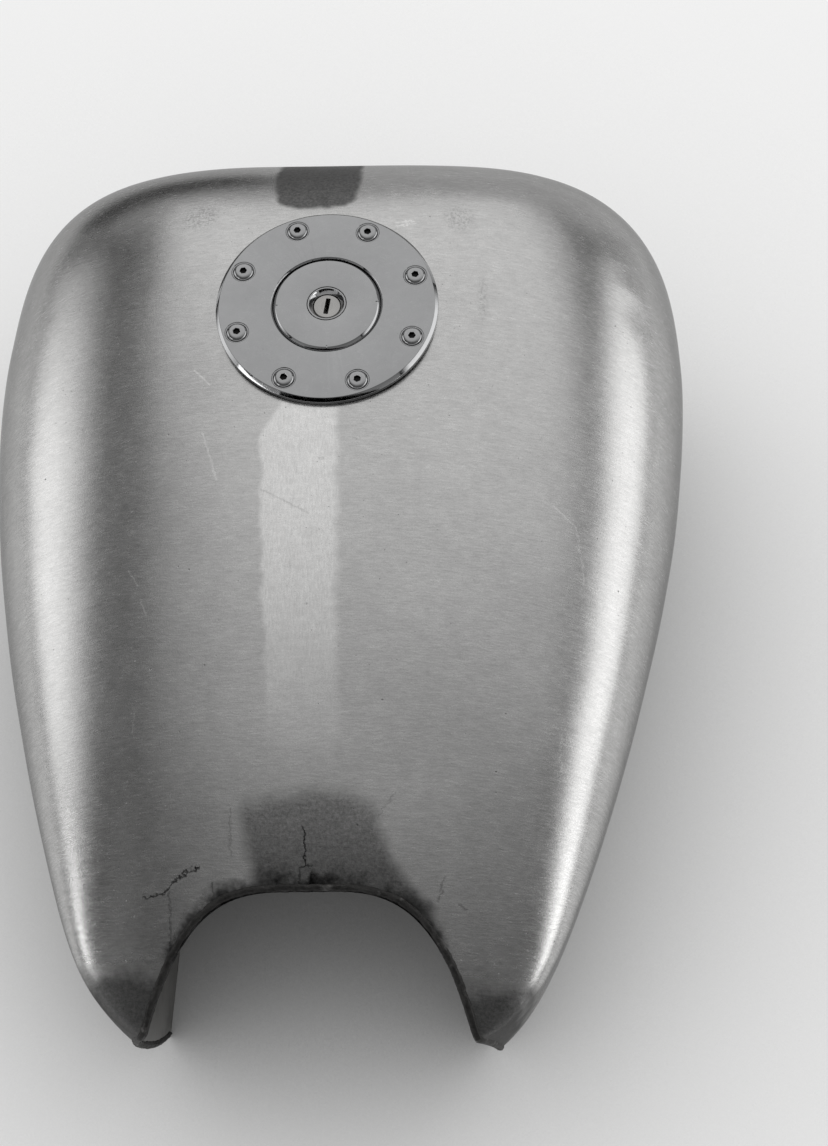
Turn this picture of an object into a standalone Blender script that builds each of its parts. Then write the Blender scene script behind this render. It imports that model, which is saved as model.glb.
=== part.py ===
"""Motorcycle fuel tank with a frame tunnel and a flush locking filler cap.

Two pressed steel halves are welded along the centre line, over a round topped
tunnel, and closed below by two floors.  Metres, +X to the rider's right, +Y
forward, +Z up, with the origin under the middle of the tank on the floor it
stands on.
"""
import math

import bmesh
import bpy
import numpy as np
from mathutils import Matrix

# Fits shared by every piece
GAP = 0.0003              # left between pieces that touch
WALL = 0.0020             # sheet of the shells, tunnel and floors

# Plan outline of the tank at its waist, the widest level
HALF_WIDTH = 0.1806
WIDEST_AHEAD = 0.0361     # widest station, ahead of the filler
FRONT_LENGTH = 0.1207     # widest station to the front
REAR_LENGTH = 0.3597      # widest station to where the two sides would meet
TAIL_HALF_WIDTH = 0.0835
FRONT_SIDE_POWER = 4.12
FRONT_NOSE_POWER = 3.31
TAPER_POWER = 1.63
TAIL_ROUND_POWER = 24.8

# Heights of the tank
FILLER_HEIGHT = 0.2050    # skin at the filler's axis
FILLER_TILT = math.radians(11.0)  # of the ridge and the cap, at the filler
RIDGE_DROP = 0.0186       # extra fall of the ridge at RIDGE_DROP_RUN behind it
RIDGE_DROP_RUN = 0.250
WAIST_FRONT = 0.1041
WAIST_REAR = 0.1031
SKIRT_TUCK = 0.020        # how far the sides draw in from waist to rim
CROWN_ACROSS_POWER = 2.20
CROWN_UP_POWER = 2.10
CROWN_SOFTNESS = 0.010    # eases the crown out where it runs down to the waist
SPINE_REAR_INSET = 0.045  # rear end of the ridge, ahead of the outline's end
SPINE_TAIL_REACH = 0.025
SPINE_FRONT_SHARE = 0.35

# Facets of the pressed skin
STATIONS = 26
CROWN_STEPS = 8
SKIRT_STEPS = 3
OUTLINE_SAMPLES = 1000    # points that the outline's length is measured on

# Facets of round pieces
RING_STEPS = 32
BARREL_STEPS = 24
HOLE_STEPS = 12
HEX_SIDES = 6

# Tunnel over the frame's backbone
TUNNEL_HALF_WIDTH = 0.0775
TUNNEL_HEIGHT = 0.1338
TUNNEL_SPRING = 0.0200    # height where the straight sides end
TUNNEL_ROUND_POWER = 3.2
TUNNEL_ARC_STEPS = 22

# Welds
ARCH_WELD_WIDTH = 0.0040
ARCH_WELD_RAISE = 0.0006
SEAM_WELD_WIDTH = 0.0060

# Floors
FLOOR_HEIGHT = 0.0100
FLOOR_TIP_WIDTH = 0.0010  # blunt rear end, measured at the rim

# Filler neck, a machined ring welded into the skin
NECK_INSET = 0.0015       # its rim, inside the bezel's
NECK_RISE = -0.0012       # top face above the skin at the axis
NECK_FLANGE = 0.0080
NECK_WALL = 0.0050        # round the groove that the bolts go into
NECK_BORE_CLEARANCE = 0.0005
NECK_GROOVE_CLEARANCE = 0.0031
NECK_SEAT_WIDTH = 0.0018  # seat left inside the seal
NECK_THROAT_LENGTH = 0.0042

# Bezel, gasket and their screws
BEZEL_RADIUS = 0.0522
BEZEL_BORE = 0.0256
BEZEL_THICKNESS = 0.0034
BEZEL_EDGE = 0.0014
BEZEL_EDGE_STEPS = 3
BEZEL_BORE_EDGE = 0.0007
GASKET_THICKNESS = 0.0010
GASKET_INSET = 0.0047     # its bore, outside the neck's
SCREW_COUNT = 8
SCREW_INSET = 0.0082      # axis, inside the bezel's rim
SCREW_PHASE = math.radians(20.4)
SCREW_SHANK = 0.0025
SCREW_HEAD = 0.00475
SCREW_HEAD_HEIGHT = 0.0026
SCREW_HEAD_FLAT = 0.0028  # radius of the head's flat top
SCREW_HEAD_EDGE = 0.0009  # height of the head's rim
SCREW_GRIP = 0.0110
SCREW_HEX = 0.0030        # across flats
SCREW_HEX_DEPTH = 0.0016
SCREW_SINK = 0.0018       # depth of the counterbore
SCREW_SINK_MARGIN = 0.0007

# Cap, which lifts out of the bezel
CAP_CLEARANCE = 0.0003
CAP_DISC_THICKNESS = 0.0033
CAP_DISC_PROUD = 0.0003
CAP_DISC_BEVEL = 0.0015
CAP_BODY_CLEARANCE = 0.0008
SEAL_WIDTH = 0.0034
SEAL_THICKNESS = 0.0020

# Lock
LOCK_WALL = 0.00265
LOCK_RECESS = 0.0024      # plug face below the cap's top
LOCK_LIP = 0.0007
PLUG_RADIUS = 0.00635
PLUG_LENGTH = 0.0085
PLUG_TAIL = 0.0040        # square, across flats
PLUG_TAIL_LENGTH = 0.0018
KEYWAY_LENGTH = 0.0086
KEYWAY_WIDTH = 0.0022
KEYWAY_FLOOR = 0.0013     # plug left under the keyway
KEYWAY_TILT = math.radians(8.0)
WAFER_COUNT = 4
WAFER_THICKNESS = 0.0007
WAFER_WIDTH = 0.0050
WAFER_SETBACK = 0.00075   # its ends, inside the plug's surface
WAFER_START = 0.0012      # plug face to the first wafer
WAFER_END = 0.0015        # last wafer to the plug's base
WAFER_EDGE = 0.0009       # wafer left at each end of its key window

# Latch: a cam under the plug drives two bolts
LATCH_TRAVEL = 0.0040
LATCH_CLEARANCE = 0.0006  # bolts to the lip they catch
CAM_RADIUS = 0.0080
CAM_THICKNESS = 0.0030
CAM_PIN_RADIUS = 0.0010
BOLT_THICKNESS = 0.0026
BOLT_WIDTH = 0.0080
BOLT_TAIL_HOOK = 0.0015
BOLT_TAIL_WALL = 0.0018   # over the cam pin's slot
BOLT_SLOT_CLEARANCE = 0.0004
BOLT_HEAD_CLEARANCE = 0.0041  # head to the other bolt's tail
CHAMBER_CLEARANCE = 0.0040
COVER_THICKNESS = 0.0017
COVER_SCREW_COUNT = 3
COVER_SCREW_SHANK = 0.0015
COVER_SCREW_HEAD = 0.0027
COVER_SCREW_HEAD_HEIGHT = 0.0012
COVER_SCREW_LENGTH = 0.0060

# Front mounts, tapped bosses on the tunnel's sides
BOSS_RADIUS = 0.0100
BOSS_LENGTH = 0.0150
BOSS_TAP_RADIUS = 0.0040
BOSS_TAP_DEPTH = 0.0120
BOSS_HEIGHT = 0.0170
BOSS_AHEAD = 0.0400       # ahead of the filler

# Rear mount, a tab under the tunnel's roof with a rubber bushed hole
TAB_DROP = 0.0300         # roof to the bolt's axis
TAB_THICKNESS = 0.0050
TAB_INSET = 0.1136        # ahead of the outline's rear end
TAB_EYE_WALL = 0.0060
TAB_FLARE = 0.0050        # wider at the roof than at the eye, each side
TAB_TOP_STEPS = 8
TAB_EYE_STEPS = 12
BUSH_RADIUS = 0.0110
BUSH_FLANGE_WIDTH = 0.0040
BUSH_FLANGE_THICKNESS = 0.0040
SLEEVE_RADIUS = 0.0062
SLEEVE_WALL = 0.0020

# Fuel outlet and crossover fittings, in the floors
OUTLET_RADIUS = 0.0120
OUTLET_BORE = 0.0070
OUTLET_LENGTH = 0.0160
OUTLET_BEHIND = 0.0900    # behind the filler
BARB_RADIUS = 0.0048
BARB_BORE = 0.0026
BARB_LENGTH = 0.0140
BARB_RELIEF = 0.00055     # depth of its waist
BARB_TIP = 0.0030
BARB_AHEAD = 0.0200       # ahead of the filler
FITTING_RIM_CLEARANCE = 0.0020

# Making of the solids
CUT_PAST = 0.0200         # how far cutters run past what they cut
MERGE = 0.00001           # points nearer than this are one point
SHARP_ANGLE = math.radians(35.0)

# Finishes: colour, roughness, metallic
RAW_STEEL = ((0.36, 0.36, 0.36), 0.38, 1.0)
WELD_STEEL = ((0.16, 0.16, 0.16), 0.55, 1.0)
TURNED_STEEL = ((0.45, 0.45, 0.46), 0.35, 1.0)
POLISHED_STEEL = ((0.78, 0.78, 0.79), 0.08, 1.0)
LOCK_STEEL = ((0.62, 0.61, 0.59), 0.22, 1.0)
BRASS = ((0.72, 0.55, 0.28), 0.35, 1.0)
RUBBER = ((0.03, 0.03, 0.03), 0.75, 0.0)

# Levels along the filler's axis, measured from the skin
NECK_TOP = NECK_RISE
GASKET_BASE = NECK_TOP + GAP
BEZEL_BASE = GASKET_BASE + GASKET_THICKNESS + GAP
BEZEL_TOP = BEZEL_BASE + BEZEL_THICKNESS
CAP_TOP = BEZEL_TOP + CAP_DISC_PROUD
CAP_DISC_BASE = CAP_TOP - CAP_DISC_THICKNESS
CAP_BODY_TOP = CAP_DISC_BASE - GAP
PLUG_TOP = CAP_TOP - LOCK_RECESS
PLUG_BASE = PLUG_TOP - PLUG_LENGTH
CAM_TOP = PLUG_BASE - GAP
CAM_BASE = CAM_TOP - CAM_THICKNESS
BOLT_TOP = CAM_BASE - GAP
BOLT_BASE = BOLT_TOP - BOLT_THICKNESS
CAP_BODY_BASE = BOLT_BASE
COVER_TOP = CAP_BODY_BASE - GAP
COVER_BASE = COVER_TOP - COVER_THICKNESS
SEAL_TOP = CAP_BODY_BASE - GAP
SEAL_BASE = SEAL_TOP - SEAL_THICKNESS
NECK_LIP = BOLT_TOP + LATCH_CLEARANCE
NECK_SEAT = min(SEAL_BASE, COVER_BASE) - GAP

# Radii that follow from the fits
CAP_DISC_RADIUS = BEZEL_BORE - CAP_CLEARANCE
CAP_BODY_RADIUS = BEZEL_BORE - CAP_BODY_CLEARANCE
SEAL_INNER = CAP_BODY_RADIUS - SEAL_WIDTH
COVER_RADIUS = SEAL_INNER - GAP
BOLT_REACH = CAP_BODY_RADIUS - GAP
CAM_PIN_CIRCLE = LATCH_TRAVEL / math.sqrt(2.0)
CHAMBER_RADIUS = CAM_RADIUS + CHAMBER_CLEARANCE
COVER_SCREW_CIRCLE = 0.5 * (CHAMBER_RADIUS + COVER_RADIUS)
LOCK_RADIUS = PLUG_RADIUS + LOCK_WALL
NECK_RADIUS = BEZEL_RADIUS - NECK_INSET
NECK_BORE = BEZEL_BORE + NECK_BORE_CLEARANCE
NECK_GROOVE_RADIUS = BOLT_REACH + LATCH_TRAVEL + NECK_GROOVE_CLEARANCE
NECK_BODY_RADIUS = NECK_GROOVE_RADIUS + NECK_WALL
NECK_THROAT = SEAL_INNER - NECK_SEAT_WIDTH
SCREW_CIRCLE = BEZEL_RADIUS - SCREW_INSET
BUSH_FLANGE = BUSH_RADIUS + BUSH_FLANGE_WIDTH
SLEEVE_BORE = SLEEVE_RADIUS - SLEEVE_WALL
TAB_EYE_RADIUS = BUSH_RADIUS + TAB_EYE_WALL

# Lengths and slopes that follow from the fits
RIDGE_SLOPE = math.tan(FILLER_TILT)
TAIL_END = WIDEST_AHEAD - REAR_LENGTH
KEYWAY_DEPTH = PLUG_LENGTH - KEYWAY_FLOOR
WAFER_LENGTH = 2.0 * (PLUG_RADIUS - WAFER_SETBACK)
WAFER_PITCH = (PLUG_LENGTH - WAFER_START - WAFER_THICKNESS - WAFER_END) / (WAFER_COUNT - 1)

# Layers over the tunnel's space, outwards
TUNNEL_BACK = WALL
WELD_INNER = TUNNEL_BACK + GAP
WELD_OUTER = TUNNEL_BACK + ARCH_WELD_WIDTH
SHELL_ARCH = WELD_OUTER + GAP

UPRIGHT = (0.5 * math.pi, 0.0, 0.0)
PARTS = "fuel_tank"
CUTTERS = "cutters"


# Scene helpers

def clear_scene():
    for obj in list(bpy.data.objects):
        bpy.data.objects.remove(obj, do_unlink=True)


def collection(name):
    found = bpy.data.collections.get(name)
    if found is None:
        found = bpy.data.collections.new(name)
        bpy.context.scene.collection.children.link(found)
    return found


def finish(name, look):
    color, roughness, metallic = look
    material = bpy.data.materials.new(name)
    material.use_nodes = True
    shader = material.node_tree.nodes["Principled BSDF"]
    shader.inputs["Base Color"].default_value = (*color, 1.0)
    shader.inputs["Roughness"].default_value = roughness
    shader.inputs["Metallic"].default_value = metallic
    return material


def place(name, mesh, look=None, parent=None, location=(0.0, 0.0, 0.0), turn=(0.0, 0.0, 0.0)):
    """Puts a mesh in the scene: a part where it has a look, a cutter where not."""
    obj = bpy.data.objects.new(name, mesh)
    obj.location = location
    obj.rotation_euler = turn
    obj.parent = parent
    if look is None:
        obj.hide_render = True
        obj.display_type = "WIRE"
        collection(CUTTERS).objects.link(obj)
    else:
        mesh.materials.append(finish(name, look))
        collection(PARTS).objects.link(obj)
    return obj


def mesh_of(name, bm):
    mesh = bpy.data.meshes.new(name)
    bmesh.ops.recalc_face_normals(bm, faces=bm.faces)
    bm.to_mesh(mesh)
    bm.free()
    return mesh


def rounded(mesh):
    """Shades a mesh smooth, but for its sharp edges."""
    mesh.shade_smooth()
    mesh.set_sharp_from_angle(angle=SHARP_ANGLE)
    return mesh


def boolean(obj, cutter, operation="DIFFERENCE"):
    modifier = obj.modifiers.new(cutter.name, "BOOLEAN")
    modifier.object = cutter
    modifier.operation = operation
    modifier.solver = "EXACT"


# Basic solids

def box_mesh(name, low, high):
    bm = bmesh.new()
    size = [b - a for a, b in zip(low, high)]
    middle = [0.5 * (a + b) for a, b in zip(low, high)]
    matrix = Matrix.Translation(middle) @ Matrix.Diagonal((*size, 1.0))
    bmesh.ops.create_cube(bm, size=1.0, matrix=matrix)
    return mesh_of(name, bm)


def rod_mesh(name, radius, low, high, steps=HOLE_STEPS):
    """A round rod along Z from low to high."""
    bm = bmesh.new()
    bmesh.ops.create_cone(bm, cap_ends=True, segments=steps, radius1=radius, radius2=radius,
                          depth=high - low, matrix=Matrix.Translation((0.0, 0.0, 0.5 * (low + high))))
    return rounded(mesh_of(name, bm))


def prism_mesh(name, outline, low, high):
    """A flat outline in X and Y, drawn out along Z from low to high."""
    curve = bpy.data.curves.new(name, "CURVE")
    curve.dimensions = "2D"
    curve.fill_mode = "BOTH"
    curve.extrude = 0.5 * (high - low)
    spline = curve.splines.new("POLY")
    spline.points.add(len(outline) - 1)
    for point, (x, y) in zip(spline.points, outline):
        point.co = (x, y, 0.0, 1.0)
    spline.use_cyclic_u = True
    guide = bpy.data.objects.new(name, curve)
    bpy.context.scene.collection.objects.link(guide)
    bpy.context.view_layer.update()
    evaluated = guide.evaluated_get(bpy.context.evaluated_depsgraph_get())
    flat = bpy.data.meshes.new_from_object(evaluated)
    bpy.data.objects.remove(guide, do_unlink=True)
    bm = bmesh.new()
    bm.from_mesh(flat)
    bmesh.ops.remove_doubles(bm, verts=bm.verts, dist=MERGE)
    bmesh.ops.translate(bm, verts=bm.verts, vec=(0.0, 0.0, 0.5 * (low + high)))
    return rounded(mesh_of(name, bm))


def turned_part(name, profile, look=None, parent=None, location=(0.0, 0.0, 0.0),
                turn=(0.0, 0.0, 0.0), steps=RING_STEPS, closed=True):
    """A profile of (radius, height) points turned about Z, down its outer side first."""
    mesh = bpy.data.meshes.new(name)
    edges = [(i, i + 1) for i in range(len(profile) - 1)]
    if closed:
        edges.append((len(profile) - 1, 0))
    mesh.from_pydata([(radius, 0.0, height) for radius, height in profile], edges, [])
    obj = place(name, mesh, look, parent, location, turn)
    screw = obj.modifiers.new("turn", "SCREW")
    screw.axis = "Z"
    screw.angle = 2.0 * math.pi
    screw.steps = steps
    screw.render_steps = steps
    screw.use_merge_vertices = True
    screw.merge_threshold = MERGE
    screw.use_smooth_shade = True
    return obj


def ring_profile(inner, outer, low, high):
    return [(outer, high), (outer, low), (inner, low), (inner, high)]


# Pressed skin

def ease(share):
    share = np.clip(share, 0.0, 1.0)
    return share * share * (3.0 - 2.0 * share)


def waist_outline(count):
    """Half the waist's plan outline, front to tail, as points evenly spaced along it."""
    quarter = np.linspace(0.0, 0.5 * math.pi, OUTLINE_SAMPLES)
    run = np.sin(quarter)
    nose = np.maximum(0.0, np.cos(quarter)) ** (2.0 / FRONT_NOSE_POWER)
    front_x = HALF_WIDTH * run ** (2.0 / FRONT_SIDE_POWER)
    front_y = WIDEST_AHEAD + FRONT_LENGTH * nose
    taper = HALF_WIDTH - (HALF_WIDTH - TAIL_HALF_WIDTH) * run ** TAPER_POWER
    rear_x = taper * np.sqrt(np.maximum(0.0, 1.0 - run ** TAIL_ROUND_POWER))
    rear_y = WIDEST_AHEAD - REAR_LENGTH * run
    x = np.concatenate([front_x, rear_x[1:]])
    y = np.concatenate([front_y, rear_y[1:]])
    along = np.concatenate([[0.0], np.cumsum(np.hypot(np.diff(x), np.diff(y)))])
    even = np.linspace(0.0, along[-1], count)
    return np.interp(even, along, x), np.interp(even, along, y)


def arch_half_width(height, grow):
    """Half the width of the tunnel's outline at a height, with a layer grown on it."""
    up = (height - TUNNEL_SPRING) / (TUNNEL_HEIGHT + grow - TUNNEL_SPRING)
    share = (1.0 - up ** TUNNEL_ROUND_POWER) ** (1.0 / TUNNEL_ROUND_POWER)
    return (TUNNEL_HALF_WIDTH + grow) * share


def filler_place():
    """How far the filler's axis is ahead of the middle of the finished tank."""
    x, y = waist_outline(OUTLINE_SAMPLES)
    behind = y < WIDEST_AHEAD
    tip = np.interp(-arch_half_width(WAIST_REAR, 0.0), -x[behind], y[behind])
    return -0.5 * (WIDEST_AHEAD + FRONT_LENGTH + tip)


FILLER_Y = filler_place()


def ridge(y):
    """Height and slope of the ridge at a distance y ahead of the filler."""
    back = np.minimum(y, 0.0) / -RIDGE_DROP_RUN
    height = FILLER_HEIGHT + RIDGE_SLOPE * y - RIDGE_DROP * back ** 3
    slope = RIDGE_SLOPE + 3.0 * RIDGE_DROP * back ** 2 / RIDGE_DROP_RUN
    return height, slope


def skirt_outline(x, y, down):
    """Waist points drawn in down the skirt, by a share of its height."""
    tuck = SKIRT_TUCK * down ** 2
    middle = 0.5 * (WIDEST_AHEAD + FRONT_LENGTH + TAIL_END)
    half_length = 0.5 * (FRONT_LENGTH + REAR_LENGTH)
    return x * (1.0 - tuck / HALF_WIDTH), middle + (y - middle) * (1.0 - tuck / half_length)


def skin_grid(bottom):
    """Points of the right half's skin: a row for each station, ridge to waist to bottom."""
    x, y = waist_outline(STATIONS)
    spine_rear = TAIL_END + SPINE_REAR_INSET
    blend_front = WIDEST_AHEAD + SPINE_FRONT_SHARE * FRONT_LENGTH
    blend_rear = TAIL_END + SPINE_TAIL_REACH
    spine = spine_rear * (1.0 - ease((y - blend_rear) / (blend_front - blend_rear)))
    top, slope = ridge(spine)
    waist = WAIST_FRONT + (WAIST_REAR - WAIST_FRONT) * ease((WIDEST_AHEAD - y) / REAR_LENGTH)
    columns = []
    for angle in np.linspace(0.0, 0.5 * math.pi, CROWN_STEPS + 1):
        out = math.sin(angle) ** (2.0 / CROWN_ACROSS_POWER)
        up = max(0.0, math.cos(angle)) ** (2.0 / CROWN_UP_POWER)
        reach = spine + (y - spine) * out
        rise = top + slope * (reach - spine) - waist
        rise = 0.5 * (rise + np.hypot(rise, CROWN_SOFTNESS))
        columns.append((x * out, reach, waist + rise * up))
    for step in range(1, SKIRT_STEPS + 1):
        down = step / SKIRT_STEPS
        columns.append((*skirt_outline(x, y, down), waist * (1.0 - down)))
    if bottom < 0.0:
        last = columns[-1]
        columns.append((last[0], last[1], np.full_like(last[2], bottom)))
    grid = np.array(columns).transpose(2, 0, 1)
    grid[:, :, 1] += FILLER_Y
    return grid


def skin_mesh(name, inset, bottom=0.0):
    """The tank's outer form as a closed solid, drawn in all over by an inset."""
    grid = skin_grid(bottom)
    bm = bmesh.new()
    for side in (1.0, -1.0):
        verts = [[bm.verts.new((side * p[0], p[1], p[2])) for p in row] for row in grid]
        for row, below in zip(verts, verts[1:]):
            for i in range(len(row) - 1):
                bm.faces.new((row[i], row[i + 1], below[i + 1], below[i]))
    bmesh.ops.remove_doubles(bm, verts=bm.verts, dist=MERGE)
    bmesh.ops.dissolve_degenerate(bm, edges=bm.edges, dist=MERGE)
    bmesh.ops.recalc_face_normals(bm, faces=bm.faces)
    bm.normal_update()
    if inset:
        moves = [vert.normal * inset for vert in bm.verts]
        for vert, move in zip(bm.verts, moves):
            vert.co -= move
    rim = [edge for edge in bm.edges if edge.is_boundary]
    for edge in rim:
        for vert in edge.verts:
            vert.co.z = bottom
    bmesh.ops.contextual_create(bm, geom=rim)
    return rounded(mesh_of(name, bm))


def arch_point(angle, grow):
    """A point of the tunnel's round topped outline, with a layer grown on it."""
    power = 2.0 / TUNNEL_ROUND_POWER
    across = math.copysign(abs(math.cos(angle)) ** power, math.cos(angle))
    up = abs(math.sin(angle)) ** power
    rise = TUNNEL_HEIGHT + grow - TUNNEL_SPRING
    return (TUNNEL_HALF_WIDTH + grow) * across, TUNNEL_SPRING + rise * up


def arch_outline(grow):
    """The tunnel's outline with a layer grown on it, drawn past the rim below."""
    side = TUNNEL_HALF_WIDTH + grow
    points = [(side, -CUT_PAST)]
    for step in range(TUNNEL_ARC_STEPS + 1):
        points.append(arch_point(math.pi * step / TUNNEL_ARC_STEPS, grow))
    points.append((-side, -CUT_PAST))
    return points


def arch_mesh(name, grow):
    """A round topped bar along the whole tunnel, drawn lying on its side."""
    reach = FRONT_LENGTH + REAR_LENGTH
    return prism_mesh(name, arch_outline(grow), -reach, reach)


def arch_cutter(name, grow):
    return place(name, arch_mesh(name, grow), turn=UPRIGHT)


def block(name, low, high):
    """A plain cutter between two corners."""
    return place(name, box_mesh(name, low, high))


class TankForms:
    """The solids that the tank's sheet metal is cut from."""

    def __init__(self):
        far = HALF_WIDTH + REAR_LENGTH + FRONT_LENGTH
        seam = 0.5 * SEAM_WELD_WIDTH
        self.hollow = place("hollow", skin_mesh("hollow", WALL, -CUT_PAST))
        self.within = place("within", skin_mesh("within", WALL + GAP, -CUT_PAST))
        self.outer = place("outer", skin_mesh("outer", 0.0))
        self.tunnel_space = arch_cutter("tunnel_space", 0.0)
        self.tunnel_back = arch_cutter("tunnel_back", WELD_INNER)
        self.weld_edge = arch_cutter("weld_edge", WELD_OUTER)
        self.shell_edge = arch_cutter("shell_edge", SHELL_ARCH)
        low = -2.0 * CUT_PAST
        self.right = block("right_half", (seam, -far, low), (far, far, far))
        self.left = block("left_half", (-far, -far, low), (-seam, far, far))
        self.front = block("front_end", (-far, FILLER_Y, low), (far, far, far))
        self.rear = block("rear_end", (-far, -far, low), (far, FILLER_Y, far))
        strip = seam - GAP
        self.front_strip = block("front_strip", (-strip, FILLER_Y, low), (strip, far, far))
        self.rear_strip = block("rear_strip", (-strip, -far, low), (strip, FILLER_Y, far))


# Tank pieces

def filler_frame():
    """An empty on the filler's axis, with Z out of the tank."""
    frame = bpy.data.objects.new("filler_frame", None)
    frame.location = (0.0, FILLER_Y, FILLER_HEIGHT)
    frame.rotation_euler = (FILLER_TILT, 0.0, 0.0)
    collection(PARTS).objects.link(frame)
    return frame


def skin_piece(name, look, forms, keep, filler_hole):
    """A piece of the skin: one half, or a strip of the seam's weld."""
    obj = place(name, skin_mesh(name, 0.0), look)
    boolean(obj, keep, "INTERSECT")
    boolean(obj, forms.shell_edge)
    boolean(obj, forms.hollow)
    boolean(obj, filler_hole)
    return obj


def arch_weld(name, forms, keep):
    """The bead between the tunnel's end and the skin's arch."""
    obj = place(name, skin_mesh(name, -ARCH_WELD_RAISE), WELD_STEEL)
    boolean(obj, forms.hollow)
    boolean(obj, forms.weld_edge, "INTERSECT")
    boolean(obj, forms.tunnel_back)
    boolean(obj, keep, "INTERSECT")
    return obj


def tunnel(forms):
    obj = place("tunnel", arch_mesh("tunnel", TUNNEL_BACK), RAW_STEEL, turn=UPRIGHT)
    boolean(obj, forms.tunnel_space)
    boolean(obj, forms.outer, "INTERSECT")
    return obj


def floor_tip():
    """Where the floors end at the rear, narrowed between the tunnel and the skin."""
    x, y = skirt_outline(*waist_outline(OUTLINE_SAMPLES), 1.0)
    behind = y < WIDEST_AHEAD
    narrow = TUNNEL_HALF_WIDTH + WELD_INNER + FLOOR_TIP_WIDTH + GAP + WALL
    return FILLER_Y + np.interp(-narrow, -x[behind], y[behind])


def floor_panel(name, forms, side, holes):
    """A flat floor between the tunnel and a side's skin, with holes for its fittings."""
    reach = FRONT_LENGTH + REAR_LENGTH
    across = sorted((0.0, side * reach))
    mesh = box_mesh(name, (across[0], floor_tip(), FLOOR_HEIGHT),
                    (across[1], reach, FLOOR_HEIGHT + WALL))
    obj = place(name, mesh, RAW_STEEL)
    boolean(obj, forms.within, "INTERSECT")
    boolean(obj, forms.tunnel_back)
    for hole in holes:
        boolean(obj, hole)
    return obj


def floor_middle(ahead):
    """Distance from the centre line to the middle of a floor, some way ahead of the filler."""
    x, y = skirt_outline(*waist_outline(OUTLINE_SAMPLES), 1.0)
    skin = np.interp(ahead, y[::-1], x[::-1]) - WALL
    return 0.5 * (TUNNEL_HALF_WIDTH + TUNNEL_BACK + skin)


def floor_hole(name, radius, x, y):
    mesh = rod_mesh(name, radius + GAP, FLOOR_HEIGHT - CUT_PAST, FLOOR_HEIGHT + CUT_PAST)
    return place(name, mesh, location=(x, y, 0.0))


def fuel_outlet(x, y):
    """A tapped bung through the left floor."""
    low = FITTING_RIM_CLEARANCE
    profile = ring_profile(OUTLET_BORE, OUTLET_RADIUS, low, low + OUTLET_LENGTH)
    turned_part("outlet_bung", profile, TURNED_STEEL, steps=HOLE_STEPS, location=(x, y, 0.0))


def crossover_fitting(name, x, y):
    """A hose barb through a floor, for the line that joins the two sides."""
    low = FITTING_RIM_CLEARANCE
    neck = BARB_RADIUS - BARB_RELIEF
    high = low + BARB_LENGTH
    middle = FLOOR_HEIGHT - GAP
    profile = [(BARB_RADIUS, high), (BARB_RADIUS, middle), (neck, middle - GAP),
               (neck, low + BARB_TIP), (BARB_RADIUS, low + BARB_TIP), (neck, low),
               (BARB_BORE, low), (BARB_BORE, high)]
    turned_part(name, profile, BRASS, steps=HOLE_STEPS, location=(x, y, 0.0))


def floors(forms):
    """The two floors, each with its fittings in its middle."""
    outlet_x = -floor_middle(-OUTLET_BEHIND)
    outlet_y = FILLER_Y - OUTLET_BEHIND
    barb_x = floor_middle(BARB_AHEAD)
    barb_y = FILLER_Y + BARB_AHEAD
    outlet = floor_hole("outlet_hole", OUTLET_RADIUS, outlet_x, outlet_y)
    left_barb = floor_hole("left_barb_hole", BARB_RADIUS, -barb_x, barb_y)
    right_barb = floor_hole("right_barb_hole", BARB_RADIUS, barb_x, barb_y)
    floor_panel("left_floor", forms, -1.0, [outlet, left_barb])
    floor_panel("right_floor", forms, 1.0, [right_barb])
    fuel_outlet(outlet_x, outlet_y)
    crossover_fitting("crossover_fitting_left", -barb_x, barb_y)
    crossover_fitting("crossover_fitting_right", barb_x, barb_y)


def front_boss(name, side):
    """A tapped boss that stands off a side of the tunnel, towards the middle."""
    start = TUNNEL_HALF_WIDTH - GAP
    face = start - BOSS_LENGTH
    tap = face + BOSS_TAP_DEPTH
    profile = [(0.0, start), (BOSS_RADIUS, start), (BOSS_RADIUS, face),
               (BOSS_TAP_RADIUS, face), (BOSS_TAP_RADIUS, tap), (0.0, tap)]
    turned_part(name, profile, TURNED_STEEL, steps=HOLE_STEPS, closed=False,
                location=(0.0, FILLER_Y + BOSS_AHEAD, BOSS_HEIGHT),
                turn=(0.0, side * 0.5 * math.pi, 0.0))


def roof_height(x):
    """Height of the tunnel's roof at a distance from the centre line."""
    share = (1.0 - (abs(x) / TUNNEL_HALF_WIDTH) ** TUNNEL_ROUND_POWER) ** (1.0 / TUNNEL_ROUND_POWER)
    return TUNNEL_SPRING + (TUNNEL_HEIGHT - TUNNEL_SPRING) * share


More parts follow.
